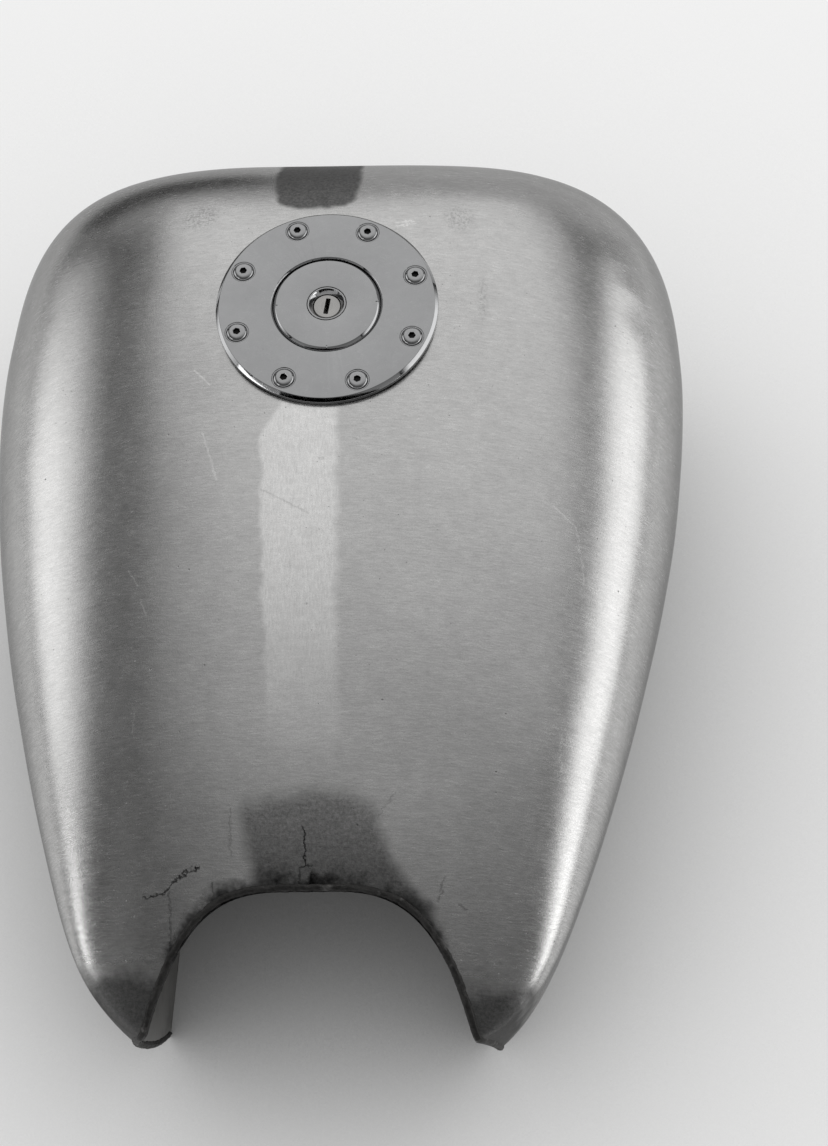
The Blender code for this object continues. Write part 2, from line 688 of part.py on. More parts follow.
def rear_mount():
    """The tab under the tunnel's roof, its rubber bush and the bush's steel sleeve."""
    y = FILLER_Y + TAIL_END + TAB_INSET
    eye = TUNNEL_HEIGHT - TAB_DROP
    half = TAB_EYE_RADIUS + TAB_FLARE
    outline = []
    for step in range(TAB_TOP_STEPS + 1):
        x = half - 2.0 * half * step / TAB_TOP_STEPS
        outline.append((x, roof_height(x) - GAP))
    for step in range(TAB_EYE_STEPS + 1):
        angle = math.pi + math.pi * step / TAB_EYE_STEPS
        outline.append((TAB_EYE_RADIUS * math.cos(angle), eye + TAB_EYE_RADIUS * math.sin(angle)))
    mesh = prism_mesh("rear_mount_tab", outline, -0.5 * TAB_THICKNESS, 0.5 * TAB_THICKNESS)
    tab = place("rear_mount_tab", mesh, RAW_STEEL, location=(0.0, y, 0.0), turn=UPRIGHT)
    hole = rod_mesh("tab_hole", BUSH_RADIUS + GAP, -CUT_PAST, CUT_PAST, BARREL_STEPS)
    boolean(tab, place("tab_hole", hole, location=(0.0, y, eye), turn=UPRIGHT))
    inner = 0.5 * TAB_THICKNESS + GAP
    outer = inner + BUSH_FLANGE_THICKNESS
    bore = SLEEVE_RADIUS + GAP
    bush = [(BUSH_FLANGE, outer), (BUSH_FLANGE, inner), (BUSH_RADIUS, inner),
            (BUSH_RADIUS, -inner), (BUSH_FLANGE, -inner), (BUSH_FLANGE, -outer),
            (bore, -outer), (bore, outer)]
    turned_part("rear_mount_bush", bush, RUBBER, location=(0.0, y, eye), turn=UPRIGHT, steps=BARREL_STEPS)
    end = outer + GAP
    turned_part("rear_mount_sleeve", ring_profile(SLEEVE_BORE, SLEEVE_RADIUS, -end, end),
                TURNED_STEEL, location=(0.0, y, eye), turn=UPRIGHT, steps=BARREL_STEPS)


# Filler pieces

def screw_places():
    """Each bezel screw's place on the filler's axes."""
    places = []
    for index in range(SCREW_COUNT):
        angle = 0.5 * math.pi + SCREW_PHASE - 2.0 * math.pi * index / SCREW_COUNT
        places.append((SCREW_CIRCLE * math.cos(angle), SCREW_CIRCLE * math.sin(angle)))
    return places


def screw_holes(name, frame, radius, low, high):
    """One cutter with a rod at each bezel screw."""
    bm = bmesh.new()
    for x, y in screw_places():
        bmesh.ops.create_cone(bm, cap_ends=True, segments=HOLE_STEPS, radius1=radius, radius2=radius,
                              depth=high - low, matrix=Matrix.Translation((x, y, 0.5 * (low + high))))
    return place(name, mesh_of(name, bm), parent=frame)


def filler_hole(frame):
    mesh = rod_mesh("filler_hole", NECK_RADIUS + GAP, -NECK_FLANGE - CUT_PAST, CUT_PAST, RING_STEPS)
    return place("filler_hole", mesh, parent=frame)


def filler_neck(frame):
    """The ring welded into the skin: lip for the bolts, groove, seat and throat."""
    base = NECK_SEAT - NECK_THROAT_LENGTH
    profile = [(NECK_RADIUS, NECK_TOP), (NECK_RADIUS, NECK_TOP - NECK_FLANGE),
               (NECK_BODY_RADIUS, NECK_TOP - NECK_FLANGE), (NECK_BODY_RADIUS, base),
               (NECK_THROAT, base), (NECK_THROAT, NECK_SEAT), (NECK_GROOVE_RADIUS, NECK_SEAT),
               (NECK_GROOVE_RADIUS, NECK_LIP), (NECK_BORE, NECK_LIP),
               (NECK_BORE, NECK_TOP)]
    neck = turned_part("filler_neck", profile, TURNED_STEEL, frame)
    tip = screw_seat() - SCREW_GRIP
    boolean(neck, screw_holes("tapped_holes", frame, SCREW_SHANK + GAP, tip - GAP, CUT_PAST))


def bezel_gasket(frame):
    profile = ring_profile(NECK_BORE + GASKET_INSET, NECK_RADIUS - GAP,
                           GASKET_BASE, GASKET_BASE + GASKET_THICKNESS)
    gasket = turned_part("bezel_gasket", profile, RUBBER, frame)
    boolean(gasket, screw_holes("gasket_holes", frame, SCREW_SHANK + GAP, -CUT_PAST, CUT_PAST))


def bezel_ring(frame):
    """The polished ring, rounded at its rim and eased at its bore."""
    profile = []
    for step in range(BEZEL_EDGE_STEPS + 1):
        angle = 0.5 * math.pi * (1.0 - step / BEZEL_EDGE_STEPS)
        profile.append((BEZEL_RADIUS - BEZEL_EDGE * (1.0 - math.cos(angle)),
                        BEZEL_TOP - BEZEL_EDGE * (1.0 - math.sin(angle))))
    profile += [(BEZEL_RADIUS, BEZEL_BASE), (BEZEL_BORE, BEZEL_BASE),
                (BEZEL_BORE, BEZEL_TOP - BEZEL_BORE_EDGE),
                (BEZEL_BORE + BEZEL_BORE_EDGE, BEZEL_TOP)]
    bezel = turned_part("bezel_ring", profile, POLISHED_STEEL, frame)
    boolean(bezel, screw_holes("bezel_holes", frame, SCREW_SHANK + GAP, -CUT_PAST, CUT_PAST))
    sink = SCREW_HEAD + SCREW_SINK_MARGIN
    boolean(bezel, screw_holes("bezel_sinks", frame, sink, BEZEL_TOP - SCREW_SINK, CUT_PAST))


def screw_seat():
    """Level of the underside of the bezel screws' heads."""
    return BEZEL_TOP - SCREW_SINK + GAP


def bezel_screws(frame):
    """Button head screws with hexagon sockets."""
    seat = screw_seat()
    top = seat + SCREW_HEAD_HEIGHT
    edge = seat + SCREW_HEAD_EDGE
    profile = [(0.0, top), (SCREW_HEAD_FLAT, top), (SCREW_HEAD, edge), (SCREW_HEAD, seat),
               (SCREW_SHANK, seat), (SCREW_SHANK, seat - SCREW_GRIP), (0.0, seat - SCREW_GRIP)]
    hex_radius = SCREW_HEX / math.sqrt(3.0)
    for index, (x, y) in enumerate(screw_places(), start=1):
        name = f"bezel_screw_{index}"
        screw = turned_part(name, profile, POLISHED_STEEL, frame, (x, y, 0.0),
                            steps=HOLE_STEPS, closed=False)
        socket = rod_mesh(f"socket_{index}", hex_radius, top - SCREW_HEX_DEPTH, top + CUT_PAST, HEX_SIDES)
        boolean(screw, place(f"socket_{index}", socket, parent=frame, location=(x, y, 0.0)))


# Cap and lock pieces

def cap_disc(frame):
    """The cap's polished top, bevelled round its rim."""
    bore = LOCK_RADIUS + GAP
    profile = [(CAP_DISC_RADIUS - CAP_DISC_BEVEL, CAP_TOP), (CAP_DISC_RADIUS, CAP_TOP - CAP_DISC_BEVEL),
               (CAP_DISC_RADIUS, CAP_DISC_BASE), (bore, CAP_DISC_BASE), (bore, CAP_TOP)]
    turned_part("cap_disc", profile, POLISHED_STEEL, frame)


def cap_body(frame):
    """The cap's body, bored for the lock and milled below for the cam and bolts."""
    bore = LOCK_RADIUS + GAP
    profile = ring_profile(bore, CAP_BODY_RADIUS, CAP_BODY_BASE, CAP_BODY_TOP)
    body = turned_part("cap_body", profile, TURNED_STEEL, frame)
    chamber = rod_mesh("cam_chamber", CHAMBER_RADIUS, CAP_BODY_BASE - CUT_PAST, CAM_TOP + GAP, RING_STEPS)
    boolean(body, place("cam_chamber", chamber, parent=frame))
    side = 0.5 * BOLT_WIDTH + GAP
    reach = CAP_BODY_RADIUS + CUT_PAST
    channel = box_mesh("bolt_channel", (-reach, -side, CAP_BODY_BASE - CUT_PAST),
                       (reach, side, BOLT_TOP + GAP))
    boolean(body, place("bolt_channel", channel, parent=frame))
    for index, (x, y) in enumerate(cover_screw_places(), start=1):
        low = COVER_BASE - CUT_PAST
        tip = COVER_BASE + COVER_SCREW_LENGTH + GAP
        tap = rod_mesh(f"cover_tap_{index}", COVER_SCREW_SHANK + GAP, low, tip)
        boolean(body, place(f"cover_tap_{index}", tap, parent=frame, location=(x, y, 0.0)))


def cap_seal(frame):
    turned_part("cap_seal", ring_profile(SEAL_INNER, CAP_BODY_RADIUS, SEAL_BASE, SEAL_TOP), RUBBER, frame)


def cover_screw_places():
    """Each cover screw's place on the filler's axes, clear of the bolts."""
    places = []
    for index in range(COVER_SCREW_COUNT):
        angle = 0.5 * math.pi + 2.0 * math.pi * index / COVER_SCREW_COUNT
        places.append((COVER_SCREW_CIRCLE * math.cos(angle), COVER_SCREW_CIRCLE * math.sin(angle)))
    return places


def bolt_cover(frame):
    """The plate that holds the bolts and cam in the cap, and its countersunk screws."""
    plate = place("bolt_cover", rod_mesh("bolt_cover", COVER_RADIUS, COVER_BASE, COVER_TOP, RING_STEPS),
                  TURNED_STEEL, frame)
    neck = COVER_BASE + COVER_SCREW_HEAD_HEIGHT
    tip = COVER_BASE + COVER_SCREW_LENGTH
    screw = [(0.0, tip), (COVER_SCREW_SHANK, tip), (COVER_SCREW_SHANK, neck),
             (COVER_SCREW_HEAD, COVER_BASE), (0.0, COVER_BASE)]
    room = [(0.0, COVER_TOP + CUT_PAST), (COVER_SCREW_SHANK + GAP, COVER_TOP + CUT_PAST),
            (COVER_SCREW_SHANK + GAP, neck), (COVER_SCREW_HEAD + GAP, COVER_BASE),
            (COVER_SCREW_HEAD + GAP, COVER_BASE - GAP), (0.0, COVER_BASE - GAP)]
    for index, (x, y) in enumerate(cover_screw_places(), start=1):
        turned_part(f"cover_screw_{index}", screw, TURNED_STEEL, frame, (x, y, 0.0),
                    steps=HOLE_STEPS, closed=False)
        boolean(plate, turned_part(f"cover_hole_{index}", room, None, frame, (x, y, 0.0),
                                   steps=HOLE_STEPS, closed=False))


def lock_housing(frame):
    """The lock's barrel, with a sloped ring down to the plug's face."""
    bore = PLUG_RADIUS + GAP
    profile = [(LOCK_RADIUS, CAP_TOP), (LOCK_RADIUS, PLUG_BASE), (bore, PLUG_BASE),
               (bore, PLUG_TOP), (LOCK_RADIUS - LOCK_LIP, CAP_TOP)]
    turned_part("lock_housing", profile, POLISHED_STEEL, frame, steps=BARREL_STEPS)


def lock_axis(frame):
    """An empty on the lock's axis, which the plug, wafers and cam turn about."""
    axis = bpy.data.objects.new("lock_axis", None)
    axis.parent = frame
    collection(PARTS).objects.link(axis)
    return axis


def wafer_levels():
    """Underside of each wafer, first to last."""
    first = PLUG_TOP - WAFER_START - WAFER_THICKNESS
    return [first - WAFER_PITCH * index for index in range(WAFER_COUNT)]


def tilted_block(name, axis, half_x, half_y, low, high):
    mesh = box_mesh(name, (-half_x, -half_y, low), (half_x, half_y, high))
    return place(name, mesh, parent=axis, turn=(0.0, 0.0, -KEYWAY_TILT))


def lock_plug(axis):
    """The plug the key turns: keyway, wafer slots and a square tail for the cam."""
    barrel = rod_mesh("lock_plug", PLUG_RADIUS, PLUG_BASE, PLUG_TOP, BARREL_STEPS)
    plug = place("lock_plug", barrel, LOCK_STEEL, axis)
    tail = 0.5 * PLUG_TAIL
    square = box_mesh("plug_tail", (-tail, -tail, PLUG_BASE - PLUG_TAIL_LENGTH),
                      (tail, tail, PLUG_BASE + GAP))
    boolean(plug, place("plug_tail", square, parent=axis), "UNION")
    boolean(plug, tilted_block("keyway", axis, 0.5 * KEYWAY_WIDTH, 0.5 * KEYWAY_LENGTH,
                               PLUG_TOP - KEYWAY_DEPTH, PLUG_TOP + CUT_PAST))
    for index, low in enumerate(wafer_levels(), start=1):
        boolean(plug, tilted_block(f"wafer_slot_{index}", axis, 0.5 * WAFER_WIDTH + GAP, 2.0 * PLUG_RADIUS,
                                   low - GAP, low + WAFER_THICKNESS + GAP))


def lock_wafers(axis):
    """Sprung plates in the plug that the key lines up."""
    window_x = 0.5 * KEYWAY_WIDTH + GAP
    window_y = 0.5 * WAFER_LENGTH - WAFER_EDGE
    for index, low in enumerate(wafer_levels(), start=1):
        name = f"lock_wafer_{index}"
        high = low + WAFER_THICKNESS
        mesh = box_mesh(name, (-0.5 * WAFER_WIDTH, -0.5 * WAFER_LENGTH, low),
                        (0.5 * WAFER_WIDTH, 0.5 * WAFER_LENGTH, high))
        wafer = place(name, mesh, BRASS, axis, turn=(0.0, 0.0, -KEYWAY_TILT))
        boolean(wafer, tilted_block(f"wafer_window_{index}", axis, window_x, window_y,
                                    low - GAP, high + GAP))


def lock_cam(axis):
    """The disc under the plug, with a pin for each bolt."""
    disc = rod_mesh("lock_cam", CAM_RADIUS, CAM_BASE, CAM_TOP, BARREL_STEPS)
    cam = place("lock_cam", disc, LOCK_STEEL, axis)
    half = 0.5 * PLUG_TAIL + GAP
    depth = PLUG_TAIL_LENGTH + GAP
    socket = box_mesh("cam_socket", (-half, -half, PLUG_BASE - depth), (half, half, CAM_TOP + CUT_PAST))
    boolean(cam, place("cam_socket", socket, parent=axis))
    offset = 0.5 * LATCH_TRAVEL
    for index, side in enumerate((1.0, -1.0), start=1):
        pin = rod_mesh(f"cam_pin_{index}", CAM_PIN_RADIUS, BOLT_BASE, CAM_BASE + GAP)
        boolean(cam, place(f"cam_pin_{index}", pin, parent=axis,
                           location=(-side * offset, side * offset, 0.0)), "UNION")


def bolt_outline():
    """The right bolt drawn back: a hooked tail round its cam pin, and a straight head."""
    pin = -0.5 * LATCH_TRAVEL
    slot = CAM_PIN_RADIUS + BOLT_SLOT_CLEARANCE
    slot_top = CAM_PIN_CIRCLE + slot
    half = 0.5 * BOLT_WIDTH
    top = slot_top + BOLT_TAIL_WALL
    back = pin - slot - BOLT_TAIL_HOOK
    step = pin + slot + BOLT_TAIL_HOOK + GAP
    head = BOLT_HEAD_CLEARANCE - back
    return [(back, GAP), (pin - slot, GAP), (pin - slot, slot_top), (pin + slot, slot_top),
            (pin + slot, GAP), (head, GAP), (head, -half), (BOLT_REACH, -half),
            (BOLT_REACH, half), (step, half), (step, top), (back, top)]


def latch_bolts(frame):
    for name, turn in (("latch_bolt_right", 0.0), ("latch_bolt_left", math.pi)):
        mesh = prism_mesh(name, bolt_outline(), BOLT_BASE, BOLT_TOP)
        place(name, mesh, LOCK_STEEL, frame, turn=(0.0, 0.0, turn))


def build():
    clear_scene()
    forms = TankForms()
    frame = filler_frame()
    hole = filler_hole(frame)
    skin_piece("left_shell", RAW_STEEL, forms, forms.left, hole)
    skin_piece("right_shell", RAW_STEEL, forms, forms.right, hole)
    skin_piece("front_seam_weld", WELD_STEEL, forms, forms.front_strip, hole)
    skin_piece("rear_seam_weld", WELD_STEEL, forms, forms.rear_strip, hole)
    arch_weld("front_arch_weld", forms, forms.front)
    arch_weld("rear_arch_weld", forms, forms.rear)
    tunnel(forms)
    floors(forms)
    front_boss("front_mount_boss_left", -1.0)
    front_boss("front_mount_boss_right", 1.0)
    rear_mount()
    filler_neck(frame)
    bezel_gasket(frame)
    bezel_ring(frame)
    bezel_screws(frame)
    cap_disc(frame)
    cap_body(frame)
    cap_seal(frame)
    bolt_cover(frame)
    lock_housing(frame)
    axis = lock_axis(frame)
    lock_plug(axis)
    lock_wafers(axis)
    lock_cam(axis)
    latch_bolts(frame)
    bpy.context.view_layer.update()


build()
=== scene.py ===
"""Looks of a bare steel motorcycle fuel tank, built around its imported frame.

Metres, +X to the rider's right, +Y forward, +Z up.  The tank's form is lofted again here at a fine
pitch, so that its reflections run smoothly, and each turned piece gets the edges that it is known by.
"""

import logging
from collections.abc import Callable, Mapping, Sequence
from dataclasses import dataclass, field
from enum import Enum
from functools import reduce
from math import atan2, copysign, cos, exp, pi, radians, remainder, sin, sqrt, tan, tau
from typing import NamedTuple

import bmesh
import bpy
import numpy as np
from mathutils import Matrix, Vector, noise
from mathutils.bvhtree import BVHTree


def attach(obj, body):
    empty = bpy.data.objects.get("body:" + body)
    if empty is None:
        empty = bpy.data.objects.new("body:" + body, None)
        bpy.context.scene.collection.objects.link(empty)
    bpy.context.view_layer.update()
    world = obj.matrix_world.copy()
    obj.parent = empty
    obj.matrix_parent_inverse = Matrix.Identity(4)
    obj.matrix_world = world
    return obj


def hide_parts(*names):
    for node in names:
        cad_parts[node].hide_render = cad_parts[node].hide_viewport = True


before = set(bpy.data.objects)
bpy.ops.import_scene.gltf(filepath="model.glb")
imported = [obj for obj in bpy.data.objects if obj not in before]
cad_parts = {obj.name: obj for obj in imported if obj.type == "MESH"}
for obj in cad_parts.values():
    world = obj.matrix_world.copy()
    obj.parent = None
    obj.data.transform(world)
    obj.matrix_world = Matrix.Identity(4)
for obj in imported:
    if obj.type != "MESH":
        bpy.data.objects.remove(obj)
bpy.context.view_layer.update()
LOG = logging.getLogger("fuel_tank")

GAP = 0.0003
WALL = 0.0020
MERGE = 0.00001
SHARP = radians(32.0)
FAR = 1.0
ORIGIN = (0.0, 0.0, 0.0)

Point = tuple[float, float]
Place = tuple[float, float, float]
Mesh = bpy.types.Mesh
Material = bpy.types.Material
Socket = bpy.types.NodeSocket
Number = Socket | float
Triple = Socket | Sequence[float]


class Body(Enum):
    """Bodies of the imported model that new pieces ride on."""

    TANK = "tank"
    CAP = "cap"
    LOCK = "lock"


class Slot(Enum):
    """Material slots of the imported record."""

    RAW_STEEL = "raw_steel"
    WELD = "weld"
    TURNED_STEEL = "turned_steel"
    POLISHED = "polished"
    LOCK_STEEL = "lock_steel"
    BRASS = "brass"
    RUBBER = "rubber"


class Side(Enum):
    """The rider's two sides, as signs of X."""

    LEFT = -1.0
    RIGHT = 1.0


class End(Enum):
    """The two ends of the tank, as signs of Y."""

    REAR = -1.0
    FRONT = 1.0


# Mesh making

def smoothed(mesh: Mesh) -> Mesh:
    """Shades a mesh smooth, but for its sharp edges."""
    mesh.shade_smooth()
    mesh.set_sharp_from_angle(angle=SHARP)
    return mesh


def mesh_from(bm: bmesh.types.BMesh, name: str, closed: bool = True) -> Mesh:
    """Turns a draft into a mesh, smooth but for its sharp edges.

    Args:
        bm: The draft, which is freed.
        name: Name of the mesh.
        closed: Whether it is a solid, whose faces can be turned outwards.

    Returns:
        The mesh.
    """
    if closed:
        bmesh.ops.remove_doubles(bm, verts=bm.verts, dist=MERGE)
        bmesh.ops.recalc_face_normals(bm, faces=bm.faces)
    mesh = bpy.data.meshes.new(name)
    bm.to_mesh(mesh)
    bm.free()
    return smoothed(mesh)


def linked(data: bpy.types.ID, name: str) -> bpy.types.Object:
    """Puts a mesh or a camera in the scene as an object at the origin."""
    obj = bpy.data.objects.new(name, data)
    bpy.context.scene.collection.objects.link(obj)
    return obj


def baked(obj: bpy.types.Object) -> Mesh:
    """Applies an object's modifiers and takes the object away.

    Args:
        obj: The object, which is removed.

    Returns:
        The finished plain mesh.
    """
    bpy.context.view_layer.update()
    evaluated = obj.evaluated_get(bpy.context.evaluated_depsgraph_get())
    mesh = bpy.data.meshes.new_from_object(evaluated)
    bpy.data.objects.remove(obj, do_unlink=True)
    return mesh


def modified(obj: bpy.types.Object, kind: str, **settings: object) -> bpy.types.Object:
    """Adds a modifier to an object.

    Args:
        obj: The object.
        kind: Type of the modifier.
        settings: Its settings.

    Returns:
        The object.
    """
    modifier = obj.modifiers.new(kind.lower(), kind)
    for name, value in settings.items():
        setattr(modifier, name, value)
    return obj


def carved(mesh: Mesh, *cutters: Mesh) -> Mesh:
    """Cuts solids out of a solid.

    Args:
        mesh: The solid to cut.
        cutters: The solids to take away.

    Returns:
        What is left of the solid.
    """
    obj = linked(mesh, mesh.name)
    tools = [linked(cutter, cutter.name) for cutter in cutters]
    for tool in tools:
        modified(obj, "BOOLEAN", object=tool, operation="DIFFERENCE", solver="EXACT")
    result = baked(obj)
    for tool in tools:
        bpy.data.objects.remove(tool, do_unlink=True)
    bm = bmesh.new()
    bm.from_mesh(result)
    bmesh.ops.dissolve_degenerate(bm, edges=bm.edges, dist=MERGE)
    bm.to_mesh(result)
    bm.free()
    return smoothed(result)


def softened(mesh: Mesh, width: float) -> Mesh:
    """Eases a solid's sharp edges with a narrow rounded bevel."""
    settings = {"width": width, "segments": 3, "limit_method": "ANGLE", "angle_limit": SHARP}
    return smoothed(baked(modified(linked(mesh, mesh.name), "BEVEL", **settings)))


def rounded(corners: Sequence[Place], steps: int = 5) -> list[Point]:
    """Rounds the corners of a closed outline.

    Args:
        corners: Each corner's two coordinates and the radius that it is rounded to.
        steps: Edges in each rounded corner.

    Returns:
        The rounded outline.
    """
    outline: list[Point] = []
    for index, (x, y, radius) in enumerate(corners):
        here = Vector((x, y))
        back = (Vector(corners[index - 1][:2]) - here).normalized()
        ahead = (Vector(corners[(index + 1) % len(corners)][:2]) - here).normalized()
        half = 0.5 * back.angle(ahead)
        if radius <= 0.0:
            outline.append((x, y))
            continue
        middle = here + (back + ahead).normalized() * (radius / sin(half))
        start = here + back * (radius / tan(half)) - middle
        stop = here + ahead * (radius / tan(half)) - middle
        first = atan2(start.y, start.x)
        sweep = remainder(atan2(stop.y, stop.x) - first, tau)
        for step in range(steps + 1):
            angle = first + sweep * step / steps
            outline.append((middle.x + radius * cos(angle), middle.y + radius * sin(angle)))
    return outline


def ring_corners(inner: float, outer: float, low: float, high: float, ease: float) -> list[Place]:
    """Corners of a plain ring's profile, all eased alike."""
    return [(outer, high, ease), (outer, low, ease), (inner, low, ease), (inner, high, ease)]


def turned(name: str, profile: Sequence[Point], axes: Matrix, steps: int = 128) -> Mesh:
    """Turns a closed profile about an axis.

    Args:
        name: Name of the mesh.
        profile: Closed outline of radius and height; points on the axis close the solid there.
        axes: Frame whose Z is the axis.
        steps: Facets round the axis.

    Returns:
        The turned solid.
    """
    bm = bmesh.new()
    rings = []
    for radius, height in profile:
        if radius < MERGE:
            rings.append([bm.verts.new(axes @ Vector((0.0, 0.0, height)))] * steps)
            continue
        angles = [tau * step / steps for step in range(steps)]
        rings.append([bm.verts.new(axes @ Vector((radius * cos(a), radius * sin(a), height)))
                      for a in angles])
    for other, ring in zip(rings[-1:] + rings[:-1], rings):
        if ring[0] is ring[1] and other[0] is other[1]:
            continue
        for step in range(steps):
            after = (step + 1) % steps
            bm.faces.new(dict.fromkeys((other[step], other[after], ring[after], ring[step])))
    return mesh_from(bm, name)


def prism(name: str, outline: Sequence[Point], low: float, high: float, axes: Matrix) -> Mesh:
    """Draws a flat outline out along an axis.

    Args:
        name: Name of the mesh.
        outline: Corners in the frame's X and Y.
        low: Level of the lower face along the frame's Z.
        high: Level of the upper face.
        axes: The frame.

    Returns:
        The solid.
    """
    bm = bmesh.new()
    lower = [bm.verts.new(axes @ Vector((x, y, low))) for x, y in outline]
    upper = [bm.verts.new(axes @ Vector((x, y, high))) for x, y in outline]
    bm.faces.new(lower)
    bm.faces.new(upper)
    for index in range(len(outline)):
        bm.faces.new((lower[index - 1], lower[index], upper[index], upper[index - 1]))
    return mesh_from(bm, name)


def rods(name: str, places: Sequence[Point], profile: Sequence[Point], axes: Matrix,
         steps: int = 48) -> Mesh:
    """Makes one cutter of several turned solids side by side.

    Args:
        name: Name of the mesh.
        places: Where each solid's axis stands in the frame's X and Y.
        profile: Closed outline of radius and height.
        axes: The frame.
        steps: Facets round each axis.

    Returns:
        The cutter.
    """
    bm = bmesh.new()
    for x, y in places:
        part = turned(name, profile, axes @ Matrix.Translation((x, y, 0.0)), steps)
        bm.from_mesh(part)
        bpy.data.meshes.remove(part)
    return mesh_from(bm, name)


def rod(radius: float, low: float, high: float) -> list[Point]:
    """Profile of a plain rod."""
    return [(0.0, high), (radius, high), (radius, low), (0.0, low)]


def box_outline(half_x: float, half_y: float) -> list[Point]:
    """Corners of a rectangle about the middle."""
    return [(half_x, half_y), (-half_x, half_y), (-half_x, -half_y), (half_x, -half_y)]


def threaded(bore: float, low: float, high: float, pitch: float) -> list[Point]:
    """Profile of a threaded bore, from low to high.

    Args:
        bore: Radius at the crests.
        low: Where the thread starts.
        high: Where it ends.
        pitch: Crest to crest.

    Returns:
        Radii and heights.
    """
    turns = int((high - low) / pitch)
    step = (high - low) / turns
    crests = [(bore, low + step * index) for index in range(turns + 1)]
    roots = [(bore + 0.5 * pitch, low + step * (index + 0.5)) for index in range(turns)]
    return sorted(crests + roots, key=lambda point: point[1])


def settle(name: str, mesh: Mesh, material: Material, slot: Slot, *nodes: str,
           body: Body = Body.TANK) -> None:
    """Puts a finished mesh in the scene and joins it to the frame.

    Args:
        name: Name of the piece.
        mesh: Its mesh, in place.
        material: Its finish.
        slot: The record's slot that its finish stands for; not used.
        nodes: The nodes that it is shown instead of.
        body: The body that it moves with.
    """
    mesh.materials.clear()
    mesh.materials.append(material)
    piece = linked(mesh, name)
    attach(piece, body.value)
    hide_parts(*nodes)
    LOG.info("%s: %d faces on %s", name, len(mesh.polygons), body.value)


def redress(node: str, material: Material) -> None:
    """Gives a node that is kept its finish."""
    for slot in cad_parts[node].material_slots:
        slot.material = material
    LOG.info("%s: kept, with %s", node, material.name)


# Node trees

class Bench:
    """A node tree under construction, with short ways to add its nodes."""

    def __init__(self, tree: bpy.types.NodeTree) -> None:
        """Takes the tree."""
        self.tree = tree

    def feed(self, socket: Socket, value: object) -> None:
        """Links a value to a socket, or sets it there."""
        if isinstance(value, bpy.types.NodeSocket):
            self.tree.links.new(value, socket)
        else:
            socket.default_value = value

    def add(self, kind: str, given: Mapping[str | int, object] | None = None,
            **settings: object) -> Sequence[Socket]:
        """Adds a node.

        Args:
            kind: Type of the node.
            given: Values of its inputs, by name or number.
            settings: Its other settings.

        Returns:
            Its outputs.
        """
        node = self.tree.nodes.new(kind)
        for name, value in settings.items():
            setattr(node, name, value)
        for socket, value in (given or {}).items():
            self.feed(node.inputs[socket], value)
        return node.outputs

    def math(self, operation: str, first: Number, second: Number = 0.0, clamp: bool = False) -> Socket:
        """Adds a sum of one or two numbers."""
        return self.add("ShaderNodeMath", {0: first, 1: second}, operation=operation, use_clamp=clamp)[0]

    def product(self, *values: Number) -> Socket:
        """Multiplies numbers together."""
        return reduce(lambda first, second: self.math("MULTIPLY", first, second), values)

    def total(self, *values: Number | tuple[Number, ...]) -> Socket:
        """Adds numbers, and the products of those that are given in a tuple."""
        terms = [self.product(*value) if isinstance(value, tuple) else value for value in values]
        return reduce(lambda first, second: self.math("ADD", first, second), terms)

    def less(self, first: Number, second: Number) -> Socket:
        """Takes the second number from the first."""
        return self.math("SUBTRACT", first, second)

    def largest(self, *values: Number) -> Socket:
        """Takes the largest of some numbers."""
        return reduce(lambda first, second: self.math("MAXIMUM", first, second), values)

    def line(self, value: Socket, slope: float, level: float) -> Socket:
        """Works out slope times a value plus a level."""
        return self.total((value, slope), level)

    def vector(self, operation: str, first: Triple, second: Triple = ORIGIN) -> Socket:
        """Adds a sum of vectors, which gives a vector, or a number where the sum is a measure."""
        outputs = self.add("ShaderNodeVectorMath", {0: first, 1: second}, operation=operation)
        return outputs["Value" if operation in ("LENGTH", "DISTANCE", "DOT_PRODUCT") else "Vector"]

    def scaled(self, vector: Triple, factor: Number) -> Socket:
        """Multiplies a vector by a number."""
        return self.add("ShaderNodeVectorMath", {0: vector, "Scale": factor}, operation="SCALE")["Vector"]

    def split(self, vector: Socket) -> tuple[Socket, ...]:
        """Takes a vector apart."""
        return tuple(self.add("ShaderNodeSeparateXYZ", {0: vector}))

    def join(self, *parts: Number) -> Socket:
        """Puts a vector together."""
        return self.add("ShaderNodeCombineXYZ", dict(enumerate(parts)))[0]

    def fade(self, value: Socket, start: Number, stop: Number, low: float = 0.0, high: float = 1.0) -> Socket:
        """Eases from low to high as a value goes from start to stop."""
        given = dict(enumerate((value, start, stop, low, high)))
        return self.add("ShaderNodeMapRange", given, interpolation_type="SMOOTHSTEP")[0]

    def between(self, mask: Socket, low: Number, high: Number) -> Socket:
        """Goes from low to high straight with a mask."""
        return self.add("ShaderNodeMapRange", dict(enumerate((mask, 0.0, 1.0, low, high))))[0]


